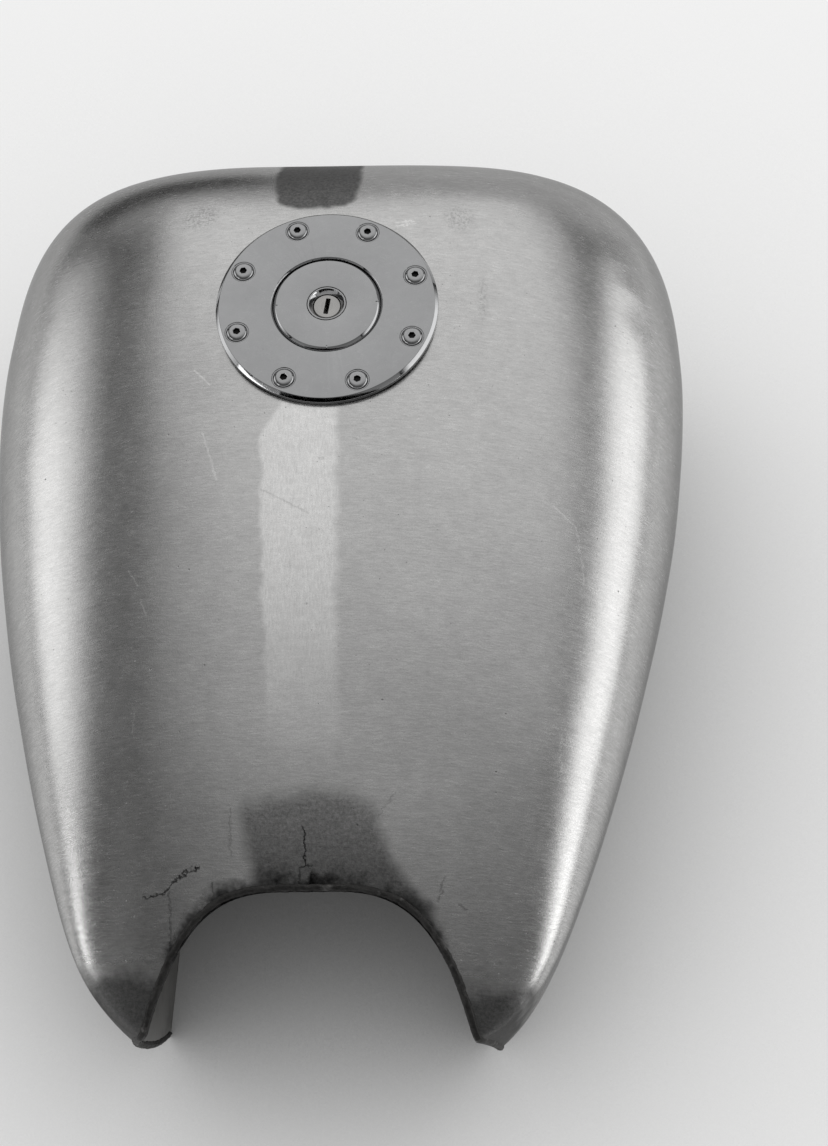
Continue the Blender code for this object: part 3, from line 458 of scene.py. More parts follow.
class GeometryBench(Bench):
    """A Geometry Nodes tree with named inputs, which makes a plain mesh of what it is given."""

    KINDS = {int: "NodeSocketInt", float: "NodeSocketFloat", tuple: "NodeSocketVector",
             Material: "NodeSocketMaterial"}

    def __init__(self, name: str, finish: Material, **sizes: int | float | Place) -> None:
        """Starts the tree.

        Args:
            name: Name of the tree.
            finish: Material of the result.
            sizes: The tree's other inputs.
        """
        super().__init__(bpy.data.node_groups.new(name, "GeometryNodeTree"))
        face = self.tree.interface
        face.new_socket("shape", in_out="INPUT", socket_type="NodeSocketGeometry")
        self.values = {}
        for label, value in {**sizes, "finish": finish}.items():
            socket = face.new_socket(label, in_out="INPUT", socket_type=self.KINDS[type(value)])
            self.values[socket.identifier] = value
        face.new_socket("result", in_out="OUTPUT", socket_type="NodeSocketGeometry")
        self.given = self.add("NodeGroupInput")

    def baked(self, mesh: Mesh, result: Socket) -> Mesh:
        """Ends the tree and runs it.

        Args:
            mesh: What the tree starts from.
            result: What it has made.

        Returns:
            The result as a plain mesh.
        """
        real = self.add("GeometryNodeRealizeInstances", {"Geometry": result})[0]
        dressed = self.add("GeometryNodeSetMaterial", {"Geometry": real, "Material": self.given["finish"]})[0]
        self.add("NodeGroupOutput", {"result": dressed})
        obj = linked(mesh, mesh.name)
        run = obj.modifiers.new(self.tree.name, "NODES")
        run.node_group = self.tree
        for identifier, value in self.values.items():
            run[identifier] = value
        return baked(obj)


class Recipe(Bench):
    """A material under construction."""

    def __init__(self, name: str) -> None:
        """Starts a material with one shader.

        Args:
            name: Name of the material.
        """
        self.material = bpy.data.materials.new(name)
        self.material.use_nodes = True
        super().__init__(self.material.node_tree)
        self.shader = self.tree.nodes["Principled BSDF"]
        self.surface = self.tree.nodes["Material Output"].inputs["Surface"]
        coordinates = self.add("ShaderNodeTexCoord")
        self.place = coordinates["Object"]
        self.facing = coordinates["Normal"]

    def attribute(self, name: str) -> Socket:
        """Reads a number that the mesh carries."""
        return self.add("ShaderNodeAttribute", attribute_name=name)["Fac"]

    def centred(self, axes: Matrix) -> Socket:
        """Places of the pattern in a frame of its own, whose Z is a turned piece's axis."""
        given = {"Vector": self.place, "Location": axes.to_translation(), "Rotation": axes.to_euler()}
        return self.add("ShaderNodeMapping", given, vector_type="TEXTURE")[0]

    def shade(self, value: Socket, mask: Socket, factor: Number) -> Socket:
        """Multiplies a value by a factor where a mask is one."""
        return self.product(value, self.between(mask, 1.0, factor))

    def noise(self, scale: Sequence[float] | float, detail: float = 3.0, rough: float = 0.55,
              place: Socket | None = None) -> Socket:
        """Adds noise.

        Args:
            scale: Features for each metre, the same or different along X, Y and Z.
            detail: Finer layers.
            rough: Strength of the finer layers.
            place: Where to read it, if not at the place on the piece.

        Returns:
            The noise, about 0 to 1.
        """
        stretch = (scale, scale, scale) if isinstance(scale, float) else scale
        given = {"Vector": self.vector("MULTIPLY", place or self.place, stretch), "Scale": 1.0,
                 "Detail": detail, "Roughness": rough}
        return self.add("ShaderNodeTexNoise", given)[0]

    def specks(self, scale: float, share: float, size: float, place: Socket | None = None) -> Socket:
        """Scatters small specks.

        Args:
            scale: Cells for each metre.
            share: Share of the cells that hold a speck.
            size: A speck's radius in cells.
            place: Where to read them, if not at the place on the piece.

        Returns:
            One in a speck and zero outside.
        """
        cells = self.add("ShaderNodeTexVoronoi", {"Vector": place or self.place, "Scale": scale})
        held = self.math("LESS_THAN", self.split(cells["Color"])[0], share)
        return self.product(self.fade(cells["Distance"], size, 0.4 * size), held)

    def scratches(self, turns: Sequence[float], fine: float, width: float) -> Socket:
        """Draws thin hairlines that wander in a few directions.

        Args:
            turns: Direction of each set, turned about Z.
            fine: Hairlines for each metre across their length.
            width: Share of the surface that one set covers, about.

        Returns:
            One on a hairline and zero between.
        """
        result: Number = 0.0
        for index, turn in enumerate(turns):
            given = {"Vector": self.place, "Rotation": (0.0, 0.0, turn),
                     "Location": (0.37 * index, 0.0, 0.11 * index)}
            place = self.add("ShaderNodeMapping", given)[0]
            streak = self.noise((0.05 * fine, fine, fine), 2.0, place=place)
            ridge = self.math("ABSOLUTE", self.less(streak, 0.5))
            presence = self.fade(self.noise(0.12 * fine, 1.0, place=place), 0.5, 0.62)
            hair = self.product(self.fade(ridge, width, 0.3 * width), presence)
            result = self.largest(result, hair)
        return result

    def bump(self, height: Socket, depth: float) -> Socket:
        """Adds relief whose unit of height is a depth in metres."""
        return self.add("ShaderNodeBump", {"Strength": 1.0, "Distance": depth, "Height": height})[0]

    def done(self, grey: Socket, color: Place, rough: Socket, normal: Socket,
             metallic: float = 1.0) -> Material:
        """Finishes the material.

        Args:
            grey: Grey value of the base colour.
            color: Its cast.
            rough: Roughness.
            normal: Bent normal.
            metallic: Metallic share.

        Returns:
            The material.
        """
        self.feed(self.shader.inputs["Base Color"], self.scaled(color, grey))
        self.feed(self.shader.inputs["Roughness"], rough)
        self.feed(self.shader.inputs["Normal"], normal)
        self.shader.inputs["Metallic"].default_value = metallic
        return self.material


# Finishes

@dataclass(frozen=True)
class Stroke:
    """A scratch, crack or smear on the skin, drawn from above through a few points."""

    points: tuple[Point, ...]
    width: float
    factor: float


STROKES = tuple(Stroke(*row) for row in (
    (((-0.0609, 0.0476), (-0.0533, 0.0393)), 0.0007, 1.30),
    (((-0.0547, 0.0143), (-0.0473, -0.0087)), 0.0008, 1.22),
    (((-0.0848, -0.0474), (-0.0797, -0.0554)), 0.0006, 1.30),
    (((-0.0782, -0.0617), (-0.0746, -0.0694)), 0.0007, 1.35),
    (((0.1043, -0.0140), (0.1142, -0.0213), (0.1174, -0.0472)), 0.0007, 1.25),
    (((-0.0777, -0.1082), (-0.0775, -0.1192)), 0.0007, 1.28),
    (((0.1048, -0.1135), (0.1043, -0.1294)), 0.0008, 1.25),
    (((0.0314, 0.1296), (0.0396, 0.1309)), 0.0009, 1.30),
    (((0.0323, 0.1270), (0.0411, 0.1288)), 0.0009, 1.30),
    (((-0.0263, -0.0150), (-0.0049, -0.0267)), 0.0008, 0.80),
    (((-0.0690, -0.1828), (-0.0609, -0.1818), (-0.0518, -0.1740), (-0.0462, -0.1726)), 0.0009, 0.04),
    (((-0.0340, -0.1503), (-0.0332, -0.1680)), 0.0007, 0.70),
    (((-0.0582, -0.1815), (-0.0568, -0.2035)), 0.0008, 0.55),
    (((-0.0401, -0.1833), (-0.0406, -0.1782)), 0.0007, 0.50),
    (((0.0274, -0.1550), (0.0345, -0.1443)), 0.0007, 0.70),
    (((0.0551, -0.1758), (0.0523, -0.1849)), 0.0008, 0.60),
    (((0.0607, -0.1859), (0.0642, -0.1876)), 0.0009, 0.60),
    (((-0.0030, -0.1591), (-0.0020, -0.1731)), 0.0008, 0.05),
    (((-0.0045, -0.1733), (0.0010, -0.1733)), 0.0009, 0.25),
    (((-0.0043, -0.1745), (-0.0043, -0.1796)), 0.0007, 0.35),
    (((0.0010, -0.1766), (0.0000, -0.1816)), 0.0024, 0.05),
    (((-0.0258, -0.1850), (-0.0200, -0.1850)), 0.0085, 0.04),
    (((-0.0430, -0.1915), (-0.0393, -0.1880), (-0.0311, -0.1860)), 0.0085, 0.05),
    (((-0.0560, -0.2030), (-0.0505, -0.1990)), 0.0060, 0.15),
    (((0.0220, -0.1868), (0.0289, -0.1885)), 0.0075, 0.05),
    (((0.0318, -0.1890), (0.0401, -0.1910), (0.0490, -0.1985)), 0.0095, 0.05),
))


@dataclass(frozen=True)
class Blot:
    """A soft round mark on the skin, seen from above."""

    middle: Point
    reach: Point
    factor: float


BLOTS = (
    Blot((-0.0650, 0.1380), (0.0130, 0.0130), 0.70),
    Blot((0.0620, 0.1340), (0.0110, 0.0120), 0.72),
    Blot((0.0730, 0.0870), (0.0035, 0.0190), 0.80),
    Blot((0.0000, -0.0005), (0.0035, 0.0012), 0.72),
    Blot((-0.0047, -0.0677), (0.0011, 0.0010), 0.50),
)


def stroke_group() -> bpy.types.NodeTree:
    """Makes the node group that measures how near a point is to a straight stroke, seen from above.

    Returns:
        The group, with the point, the stroke's ends and its half width as inputs.
    """
    bench = Bench(bpy.data.node_groups.new("stroke", "ShaderNodeTree"))
    face = bench.tree.interface
    for name in ("Point", "Start", "Stop"):
        face.new_socket(name, in_out="INPUT", socket_type="NodeSocketVector")
    face.new_socket("Half Width", in_out="INPUT", socket_type="NodeSocketFloat")
    face.new_socket("Mask", in_out="OUTPUT", socket_type="NodeSocketFloat")
    given = bench.add("NodeGroupInput")
    arm = bench.vector("SUBTRACT", given["Point"], given["Start"])
    whole = bench.vector("SUBTRACT", given["Stop"], given["Start"])
    share = bench.math("DIVIDE", bench.vector("DOT_PRODUCT", arm, whole),
                       bench.vector("DOT_PRODUCT", whole, whole), clamp=True)
    away = bench.vector("DISTANCE", arm, bench.scaled(whole, share))
    bench.add("NodeGroupOutput", {"Mask": bench.fade(away, given["Half Width"], 0.0)})
    return bench.tree


class Ground(NamedTuple):
    """What marks are drawn with: a material, places across, along and up, and a noise about zero."""

    recipe: Recipe
    x: Socket
    y: Socket
    z: Socket
    wobble: Socket


@dataclass(frozen=True)
class RawSteel:
    """Bare pressed sheet, sanded across, with a ground weld, scorched patches, soot and scratches.

    Of a pair for a mark's edge the first number is where the mark starts to show and the second is
    where it is full. A side of a mark is its place across and how that leans along the tank.
    """

    grey: float = 0.50
    edge: float = 0.5
    rough: float = 0.23
    grain: float = 1500.0
    grain_run: float = 240.0
    relief: float = 0.00012
    color: Place = (1.0, 0.995, 0.985)
    stripe_gain: float = 1.36
    stripe_top: float = 0.0115
    stripe_left: Point = (-0.0290, -0.0689)
    stripe_left_edge: Point = (-0.0014, 0.0018)
    stripe_right: Point = (0.0063, -0.0315)
    stripe_right_edge: Point = (-0.0026, 0.0030)
    stripe_corner: Point = (1.73, 0.0616)
    stripe_corner_edge: Point = (-0.0030, 0.0040)
    stripe_tail: Point = (-0.145, -0.060)
    stripe_fray: float = 0.0070
    front_middle: float = -0.0088
    front_half: float = 0.0214
    front_end: float = 0.1405
    front_round: float = 0.0225
    front_powers: Point = (3.4, 2.6)
    front_edge: Point = (1.25, 0.70)
    front_fray: float = 0.9
    rear_left: Point = (-0.0661, -0.242)
    rear_left_edge: Point = (-0.0035, 0.0035)
    rear_right: float = 0.0255
    rear_right_edge: Point = (-0.0045, 0.0045)
    rear_spread: float = 13.5
    rear_limit: float = 0.050
    rear_top: float = -0.1450
    rear_top_edge: Point = (-0.0060, 0.0060)
    rear_round: float = 5.5
    rear_fray: float = 0.006
    rear_end: Point = (-0.203, -0.190)
    rear_burn: Point = (-0.150, -0.186)
    rim_half: float = 0.0785
    rim_spring: float = 0.02
    rim_rise: float = 0.1148
    rim_power: float = 3.2
    rim_fray: float = 0.09
    rim_edge: Point = (0.026, 0.000)
    rim_reach: Point = (-0.10, -0.15)
    tip_lean: float = 0.03
    tip_fray: float = 0.02
    tip_edge: Point = (-0.205, -0.220)
    tip_share: float = 0.95

    def stripe(self, ground: Ground) -> Socket:
        """Masks the band that was ground smooth over the rear seam.

        Args:
            ground: What the mark is drawn with.

        Returns:
            The mask.
        """
        r, x, y, _, wobble = ground
        left, right = (r.line(y, lean, place - lean * self.stripe_top)
                       for place, lean in (self.stripe_left, self.stripe_right))
        frayed = r.total(x, (wobble, self.stripe_fray))
        corner = r.less(r.line(x, *self.stripe_corner), y)
        return r.product(r.fade(r.less(frayed, left), *self.stripe_left_edge),
                         r.fade(r.less(right, frayed), *self.stripe_right_edge),
                         r.fade(corner, *self.stripe_corner_edge), r.fade(y, *self.stripe_tail))

    def front_patch(self, ground: Ground) -> Socket:
        """Masks the scorched patch at the front end of the seam.

        Args:
            ground: What the mark is drawn with.

        Returns:
            The mask.
        """
        r, x, y, _, wobble = ground
        across = r.math("DIVIDE", r.less(x, self.front_middle), self.front_half)
        start = self.front_end + self.front_round
        along = r.largest(r.math("DIVIDE", r.less(start, y), self.front_round), 0.0)
        power, end_power = self.front_powers
        aside = r.math("POWER", r.math("ABSOLUTE", across), power)
        spread = r.total(aside, r.math("POWER", along, end_power))
        return r.fade(r.total(spread, (wobble, self.front_fray)), *self.front_edge)

    def rear_patch(self, ground: Ground) -> Socket:
        """Masks the scorched patch that widens towards the arch.

        Args:
            ground: What the mark is drawn with.

        Returns:
            The mask.
        """
        r, x, y, _, wobble = ground
        fray = r.product(wobble, self.rear_fray)
        frayed = r.total(x, fray)
        back = r.largest(r.less(self.rear_top, y), 0.0)
        right = r.line(r.product(back, back), self.rear_spread, self.rear_right)
        right = r.math("MINIMUM", right, self.rear_limit)
        low = r.less(self.rear_top, r.total(y, (x, x, self.rear_round), fray))
        left = r.line(y, self.rear_left[1], self.rear_left[0])
        return r.product(r.fade(r.less(frayed, left), *self.rear_left_edge),
                         r.fade(r.less(right, frayed), *self.rear_right_edge),
                         r.fade(low, *self.rear_top_edge), r.fade(y, *self.rear_end))

    def soot(self, ground: Ground) -> Socket:
        """Masks the burnt rim of the rear arch and the sooty tips.

        Args:
            ground: What the mark is drawn with.

        Returns:
            The mask.
        """
        r, x, y, z, wobble = ground
        across = r.math("DIVIDE", r.math("ABSOLUTE", x), self.rim_half)
        up = r.largest(r.math("DIVIDE", r.less(z, self.rim_spring), self.rim_rise), 0.0)
        powers = r.total(r.math("POWER", across, self.rim_power), r.math("POWER", up, self.rim_power))
        away = r.less(r.math("POWER", powers, 1.0 / self.rim_power), 1.0)
        rim = r.fade(r.total(away, (wobble, self.rim_fray)), *self.rim_edge)
        tips = r.total(y, (x, self.tip_lean), (wobble, self.tip_fray))
        return r.largest(r.product(rim, r.fade(y, *self.rim_reach)),
                         r.product(r.fade(tips, *self.tip_edge), self.tip_share))

    def marks(self, ground: Ground, grey: Socket, speckle: Socket) -> Socket:
        """Draws the scratches, cracks and blots.

        Args:
            ground: What they are drawn with.
            grey: The grey under them.
            speckle: Fine noise that breaks them up.

        Returns:
            The grey with the marks.
        """
        r, x, y, *_ = ground
        flat = r.join(x, y, 0.0)
        jag = r.line(r.noise(480.0), 0.0046, -0.0023)
        frayed = r.vector("ADD", flat, r.join(jag, r.product(jag, -1.2), 0.0))
        broken = r.line(speckle, 1.1, 0.35)
        group = stroke_group()
        for stroke in STROKES:
            masks = []
            for start, stop in zip(stroke.points, stroke.points[1:]):
                given = {"Point": frayed, "Start": (*start, 0.0), "Stop": (*stop, 0.0),
                         "Half Width": stroke.width}
                masks.append(r.add("ShaderNodeGroup", given, node_tree=group)["Mask"])
            grey = r.shade(grey, r.product(r.largest(0.0, *masks), broken), stroke.factor)
        for blot in BLOTS:
            arm = r.vector("DIVIDE", r.vector("SUBTRACT", flat, (*blot.middle, 0.0)), (*blot.reach, 1.0))
            patch = r.product(r.fade(r.vector("LENGTH", arm), 1.0, 0.3), r.fade(speckle, 0.42, 0.62))
            grey = r.shade(grey, patch, blot.factor)
        return grey

    def material(self) -> Material:
        """Makes the finish.

        Returns:
            The material.
        """
        r = Recipe("raw_steel_skin")
        x, y, z = r.split(r.place)
        drift = r.line(r.noise(13.0, 2.0), 0.006, -0.003)
        bent = r.join(x, r.total(y, drift), r.total(z, drift))
        ground = Ground(r, x, y, z, r.less(r.noise(85.0), 0.5))
        speckle = r.noise(750.0, 3.0, 0.7)

        nose = r.fade(r.math("ABSOLUTE", r.split(r.facing)[1]), 0.45, 0.85)
        fine, run = self.grain, self.grain_run
        across, upright, lengthwise = (r.noise(scale, 4.0, 0.62, bent)
                                       for scale in ((run, fine, run), (run, run, fine), (fine, run, run)))
        broad = r.noise((0.5 * run, 0.30 * fine, 0.5 * run), place=bent)
        dust = r.noise(1700.0, 2.0)
        stripe = self.stripe(ground)
        grain = r.between(nose, r.between(stripe, across, lengthwise), upright)

        clouds = r.noise(11.0)
        mottle = r.noise(95.0, 4.0)
        grey = r.product(self.grey, r.line(grain, 0.56, 0.72), r.line(broad, 0.20, 0.90),
                         r.line(dust, 0.44, 0.78), r.line(clouds, 0.22, 0.89), r.line(mottle, 0.20, 0.90))
        grey = r.shade(grey, stripe, self.stripe_gain)

        front, rear, soot = self.front_patch(ground), self.rear_patch(ground), self.soot(ground)
        grey = r.shade(grey, front, r.line(speckle, 0.50, 0.05))
        grey = r.shade(grey, rear, r.line(speckle, 0.70, 0.16))
        grey = r.shade(grey, r.product(rear, r.fade(y, *self.rear_burn)), 0.5)
        grey = r.shade(grey, soot, r.line(speckle, 0.30, 0.04))

        pits = r.largest(r.specks(210.0, 0.05, 0.12), r.specks(520.0, 0.05, 0.16))
        grey = self.marks(ground, r.shade(grey, pits, 0.55), speckle)

        dull = r.largest(front, rear, soot)
        rough = r.total(self.rough - 0.05, (grain, 0.10), (dull, 0.22), (mottle, 0.05))
        height = r.total((grain, 0.26), (broad, 0.12), (mottle, 0.16),
                         (dust, 0.22), (speckle, dull, 0.8), (pits, -0.7))
        r.shader.inputs["Specular Tint"].default_value = (self.edge, self.edge, self.edge, 1.0)
        return r.done(grey, self.color, rough, r.bump(height, self.relief))


@dataclass(frozen=True)
class SheetSteel:
    """Mill finished sheet of unpolished pieces, darker at the channel's ends from weld heat and painted
    shade.
    """

    HEAT = "heat"
    grey: float = 0.34
    rough: float = 0.40
    color: Place = (1.0, 0.985, 0.955)
    relief: float = 0.00010

    def material(self) -> Material:
        """Makes the finish.

        Returns:
            The material.
        """
        r = Recipe("sheet_steel")
        grain = r.noise((420.0, 24.0, 420.0), 4.0, 0.6)
        clouds = r.noise(16.0, 4.0)
        stain = r.fade(r.noise(38.0, 4.0), 0.46, 0.72)
        pits = r.specks(380.0, 0.10, 0.16)
        grey = r.product(self.grey, r.line(grain, 0.50, 0.75), r.line(clouds, 0.70, 0.65))
        grey = r.shade(r.shade(grey, stain, 0.72), pits, 0.5)
        # Darkens the channel towards its ends: heat scale from the welds, and painted shade inside the
        # arches.
        heat = r.fade(r.total(r.attribute(self.HEAT), r.line(clouds, 0.7, -0.35)), 0.15, 0.85)
        grey = r.shade(grey, heat, 0.12)
        rough = r.total(self.rough, (stain, 0.14), (grain, 0.06), (heat, 0.2))
        height = r.total(grain, (clouds, 0.4), (pits, -2.0))
        return r.done(grey, self.color, rough, r.bump(height, self.relief))


@dataclass(frozen=True)
class WeldScale:
    """Dark, burnt weld metal with clinker and a few bright beads."""

    grey: float = 0.05
    rough: float = 0.46
    color: Place = (1.0, 0.98, 0.96)
    relief: float = 0.00035

    def material(self) -> Material:
        """Makes the finish.

        Returns:
            The material.
        """
        r = Recipe("weld_scale")
        lumps = r.noise(420.0, 4.0, 0.65)
        clinker = r.noise(1900.0, 3.0, 0.6)
        bright = r.fade(r.noise(150.0), 0.58, 0.70)
        grey = r.product(self.grey, r.line(lumps, 1.3, 0.35), r.line(clinker, 0.7, 0.65))
        grey = r.shade(grey, bright, 2.2)
        rough = r.total(self.rough, (lumps, 0.22), (bright, -0.12))
        height = r.total(lumps, (clinker, 0.35))
        return r.done(grey, self.color, rough, r.bump(height, self.relief))


@dataclass(frozen=True)
class Polished:
    """Polished plate, with wipe marks, hairlines, a trace of ripple and painted shade in screw sockets."""

    PAINTED_SOCKET_SHADE = "painted_socket_shade"
    grey: float = 0.33
    rough: float = 0.045
    color: Place = (0.985, 0.99, 1.0)
    relief: float = 0.00003

    def material(self) -> Material:
        """Makes the finish.

        Returns:
            The material.
        """
        r = Recipe("polished_plate")
        smear = r.noise(46.0, 4.0, 0.6)
        film = r.noise(260.0, 4.0, 0.6)
        hair = r.scratches((0.35, 1.9, 2.7), 1500.0, 0.012)
        nicks = r.specks(420.0, 0.03, 0.10)
        grey = r.product(self.grey, r.line(smear, 0.16, 0.92), r.line(film, 0.10, 0.95))
        # Painted shade: darkens and dulls the screws' hex sockets where the mesh marks them.
        painted_socket_shade = r.fade(r.attribute(self.PAINTED_SOCKET_SHADE), 0.1, 0.7)
        grey = r.shade(r.shade(r.shade(grey, hair, 1.12), nicks, 0.6), painted_socket_shade, 0.07)
        rough = r.total(self.rough - 0.015, (smear, 0.03), (film, 0.02),
                        (hair, 0.08), (nicks, 0.2), (painted_socket_shade, 0.4))
        height = r.total(smear, (hair, -0.04), (nicks, -0.25))
        return r.done(grey, self.color, rough, r.bump(height, self.relief))


@dataclass(frozen=True)
class Turned:
    """Metal turned on a lathe, with rings about its axis, wipe marks and small nicks."""

    name: str
    axes: Matrix
    grey: float = 0.45
    rough: float = 0.24
    color: Place = (1.0, 0.99, 0.975)
    pitch: float = 2600.0
    relief: float = 0.00004

    def material(self) -> Material:
        """Makes the finish.

        Returns:
            The material.
        """
        r = Recipe(self.name)
        place = r.centred(self.axes)
        x, y, z = r.split(place)
        radius = r.vector("LENGTH", r.join(x, y, 0.0))
        rings = r.noise((self.pitch, self.pitch, 1.0), place=r.join(radius, r.product(z, 0.8), 0.0))
        smear = r.noise(70.0, 4.0, place=place)
        nicks = r.specks(520.0, 0.05, 0.12, place)
        grey = r.product(self.grey, r.line(rings, 0.40, 0.80), r.line(smear, 0.36, 0.82))
        grey = r.shade(grey, nicks, 0.6)
        rough = r.total(self.rough - 0.04, (rings, 0.08), (smear, 0.10))
        height = r.total(rings, (nicks, -1.5))
        return r.done(grey, self.color, rough, r.bump(height, self.relief))


@dataclass(frozen=True)
class Rubber:
    """Moulded black rubber, with a dusty bloom and fine grain."""

    grey: float = 0.026
    rough: float = 0.56
    color: Place = (1.0, 0.98, 0.96)
    relief: float = 0.00008

    def material(self) -> Material:
        """Makes the finish.

        Returns:
            The material.
        """
        r = Recipe("moulded_rubber")
        grain = r.noise(1800.0)
        bloom = r.fade(r.noise(90.0, 4.0), 0.42, 0.72)
        grey = r.product(self.grey, r.line(grain, 0.6, 0.7), r.between(bloom, 1.0, 2.1))
        rough = r.total(self.rough, (bloom, 0.16), (grain, 0.10))
        return r.done(grey, self.color, rough, r.bump(grain, self.relief), 0.0)


# The tank's form

def ease(share: np.ndarray) -> np.ndarray:
    """Goes smoothly from 0 to 1."""
    held = np.clip(share, 0.0, 1.0)
    return held * held * (3.0 - 2.0 * held)


@dataclass(frozen=True)
class TankForm:
    """The lofted form of the skin: a waist outline, a ridge over it and a skirt below."""

    half_width: float = 0.1806
    widest_ahead: float = 0.0361
    front_length: float = 0.1207
    rear_length: float = 0.3597
    tail_half_width: float = 0.0835
    front_side_power: float = 4.12
    front_nose_power: float = 3.31
    taper_power: float = 1.63
    tail_round_power: float = 24.8
    filler_y: float = 0.0773285
    filler_height: float = 0.2050
    filler_tilt: float = radians(11.0)
    ridge_drop: float = 0.0186
    ridge_drop_run: float = 0.250
    waist_front: float = 0.1041
    waist_rear: float = 0.1031
    skirt_tuck: float = 0.020
    across_power: float = 2.20
    up_power: float = 2.10
    softness: float = 0.010
    spine_inset: float = 0.045
    spine_tail_reach: float = 0.025
    spine_front_share: float = 0.35
    samples: int = 4000

    @property
    def tail_end(self) -> float:
        """Where the waist ends behind the filler."""
        return self.widest_ahead - self.rear_length

    @property
    def filler_axes(self) -> Matrix:
        """The filler's frame, on the skin, with its axis along Z."""
        return (Matrix.Translation((0.0, self.filler_y, self.filler_height))
                @ Matrix.Rotation(self.filler_tilt, 4, "X"))

    def waist(self, count: int) -> tuple[np.ndarray, np.ndarray]:
        """Draws the right half of the waist from nose to tail at even steps.

        Args:
            count: Number of points.

        Returns:
            Places across, and ahead of the filler.
        """
        run = np.sin(np.linspace(0.0, 0.5 * pi, self.samples))
        rest = np.sqrt(np.maximum(0.0, 1.0 - run * run))
        front_x = self.half_width * run ** (2.0 / self.front_side_power)
        front_y = self.widest_ahead + self.front_length * rest ** (2.0 / self.front_nose_power)
        taper = self.half_width - (self.half_width - self.tail_half_width) * run ** self.taper_power
        rear_x = taper * np.sqrt(np.maximum(0.0, 1.0 - run ** self.tail_round_power))
        x = np.concatenate([front_x, rear_x[1:]])
        y = np.concatenate([front_y, self.widest_ahead - self.rear_length * run[1:]])
        along = np.concatenate([[0.0], np.cumsum(np.hypot(np.diff(x), np.diff(y)))])
        even = np.linspace(0.0, along[-1], count)
        return np.interp(even, along, x), np.interp(even, along, y)

    def skirt(self, x: np.ndarray, y: np.ndarray, down: float) -> tuple[np.ndarray, np.ndarray]:
        """Tucks the waist in below.

        Args:
            x: The waist across.
            y: The waist along, ahead of the filler.
            down: Share of the way from the waist to the bottom edge.

        Returns:
            The outline at that share, across and ahead of the filler.
        """
        tuck = self.skirt_tuck * down * down
        middle = 0.5 * (self.widest_ahead + self.front_length + self.tail_end)
        half_length = 0.5 * (self.front_length + self.rear_length)
        return x * (1.0 - tuck / self.half_width), middle + (y - middle) * (1.0 - tuck / half_length)

    def grid(self, stations: int, crown: int, skirt: int) -> np.ndarray:
        """Lofts the right half of the skin.

        Args:
            stations: Sections from nose to tail.
            crown: Steps from the ridge down to the waist.
            skirt: Steps from the waist down to the bottom edge.

        Returns:
            Points, by section, step and axis.
        """
        x, y = self.waist(stations)
        break_front = self.widest_ahead + self.spine_front_share * self.front_length
        break_rear = self.tail_end + self.spine_tail_reach
        ahead = ease((y - break_rear) / (break_front - break_rear))
        spine = (self.tail_end + self.spine_inset) * (1.0 - ahead)
        back = np.minimum(spine, 0.0) / -self.ridge_drop_run
        lean = tan(self.filler_tilt)
        top = self.filler_height + lean * spine - self.ridge_drop * back ** 3
        slope = lean + 3.0 * self.ridge_drop * back ** 2 / self.ridge_drop_run
        fall = self.waist_rear - self.waist_front
        waist = self.waist_front + fall * ease((self.widest_ahead - y) / self.rear_length)
        columns = []
        for turn in np.linspace(0.0, 0.5 * pi, crown + 1):
            out = sin(turn) ** (2.0 / self.across_power)
            up = max(0.0, cos(turn)) ** (2.0 / self.up_power)
            reach = spine + (y - spine) * out
            rise = top + slope * (reach - spine) - waist
            rise = 0.5 * (rise + np.hypot(rise, self.softness))
            columns.append((x * out, reach, waist + rise * up))
        for down in np.linspace(0.0, 1.0, skirt + 1)[1:]:
            columns.append((*self.skirt(x, y, down), waist * (1.0 - down)))
        grid = np.array(columns).transpose(2, 0, 1)
        grid[:, :, 1] += self.filler_y
        return grid


@dataclass(frozen=True)
class ArchForm:
    """The round-topped section of the channel that passes under the tank."""

    half_width: float = 0.0775
    height: float = 0.1338
    spring: float = 0.020
    power: float = 3.2

    def point(self, turn: float, grow: float) -> Point:
        """Finds a point of the arch.

        Args:
            turn: Angle from the right foot of the round to the left.
            grow: How far outside the channel's own face.

        Returns:
            The place across, and the height.
        """
        bend = 2.0 / self.power
        across = copysign(abs(cos(turn)) ** bend, cos(turn))
        return ((self.half_width + grow) * across,
                self.spring + (self.height + grow - self.spring) * abs(sin(turn)) ** bend)

    def outside(self, place: Vector, grow: float) -> float:
        """Tells how far a point lies outside the arch, about in metres, and below zero inside."""
        across = abs(place.x) / (self.half_width + grow)
        up = max(0.0, place.z - self.spring) / (self.height + grow - self.spring)
        return ((across ** self.power + up ** self.power) ** (1.0 / self.power) - 1.0) * self.half_width

    def path(self, grow: float, steps: int, legs: int, foot: float) -> list[Point]:
        """Follows the arch from its right foot over to its left.

        Args:
            grow: How far outside the channel's own face.
            steps: Steps over the round.
            legs: Steps on each straight leg.
            foot: Height that the legs start from.

        Returns:
            Places across and heights.
        """
        edge = self.half_width + grow
        rise = [foot + (self.spring - foot) * step / legs for step in range(legs)]
        over = [self.point(pi * step / steps, grow) for step in range(steps + 1)]
        return [(edge, z) for z in rise] + over + [(-edge, z) for z in reversed(rise)]


SNAP = 0.16
REFINE = 8


def crossing(start: Vector, stop: Vector, level: Callable[[Vector], float]) -> float:
    """Finds where a level passes zero on an edge.

    Args:
        start: One end, where the level has one sign.
        stop: The other end, where it has the other sign.
        level: The level.

    Returns:
        The share of the way from start to stop.
    """
    low, high = 0.0, 1.0
    sign = copysign(1.0, level(start))
    for _ in range(REFINE):
        share = 0.5 * (low + high)
        if sign * level(start.lerp(stop, share)) > 0.0:
            low = share
        else:
            high = share
    return 0.5 * (low + high)


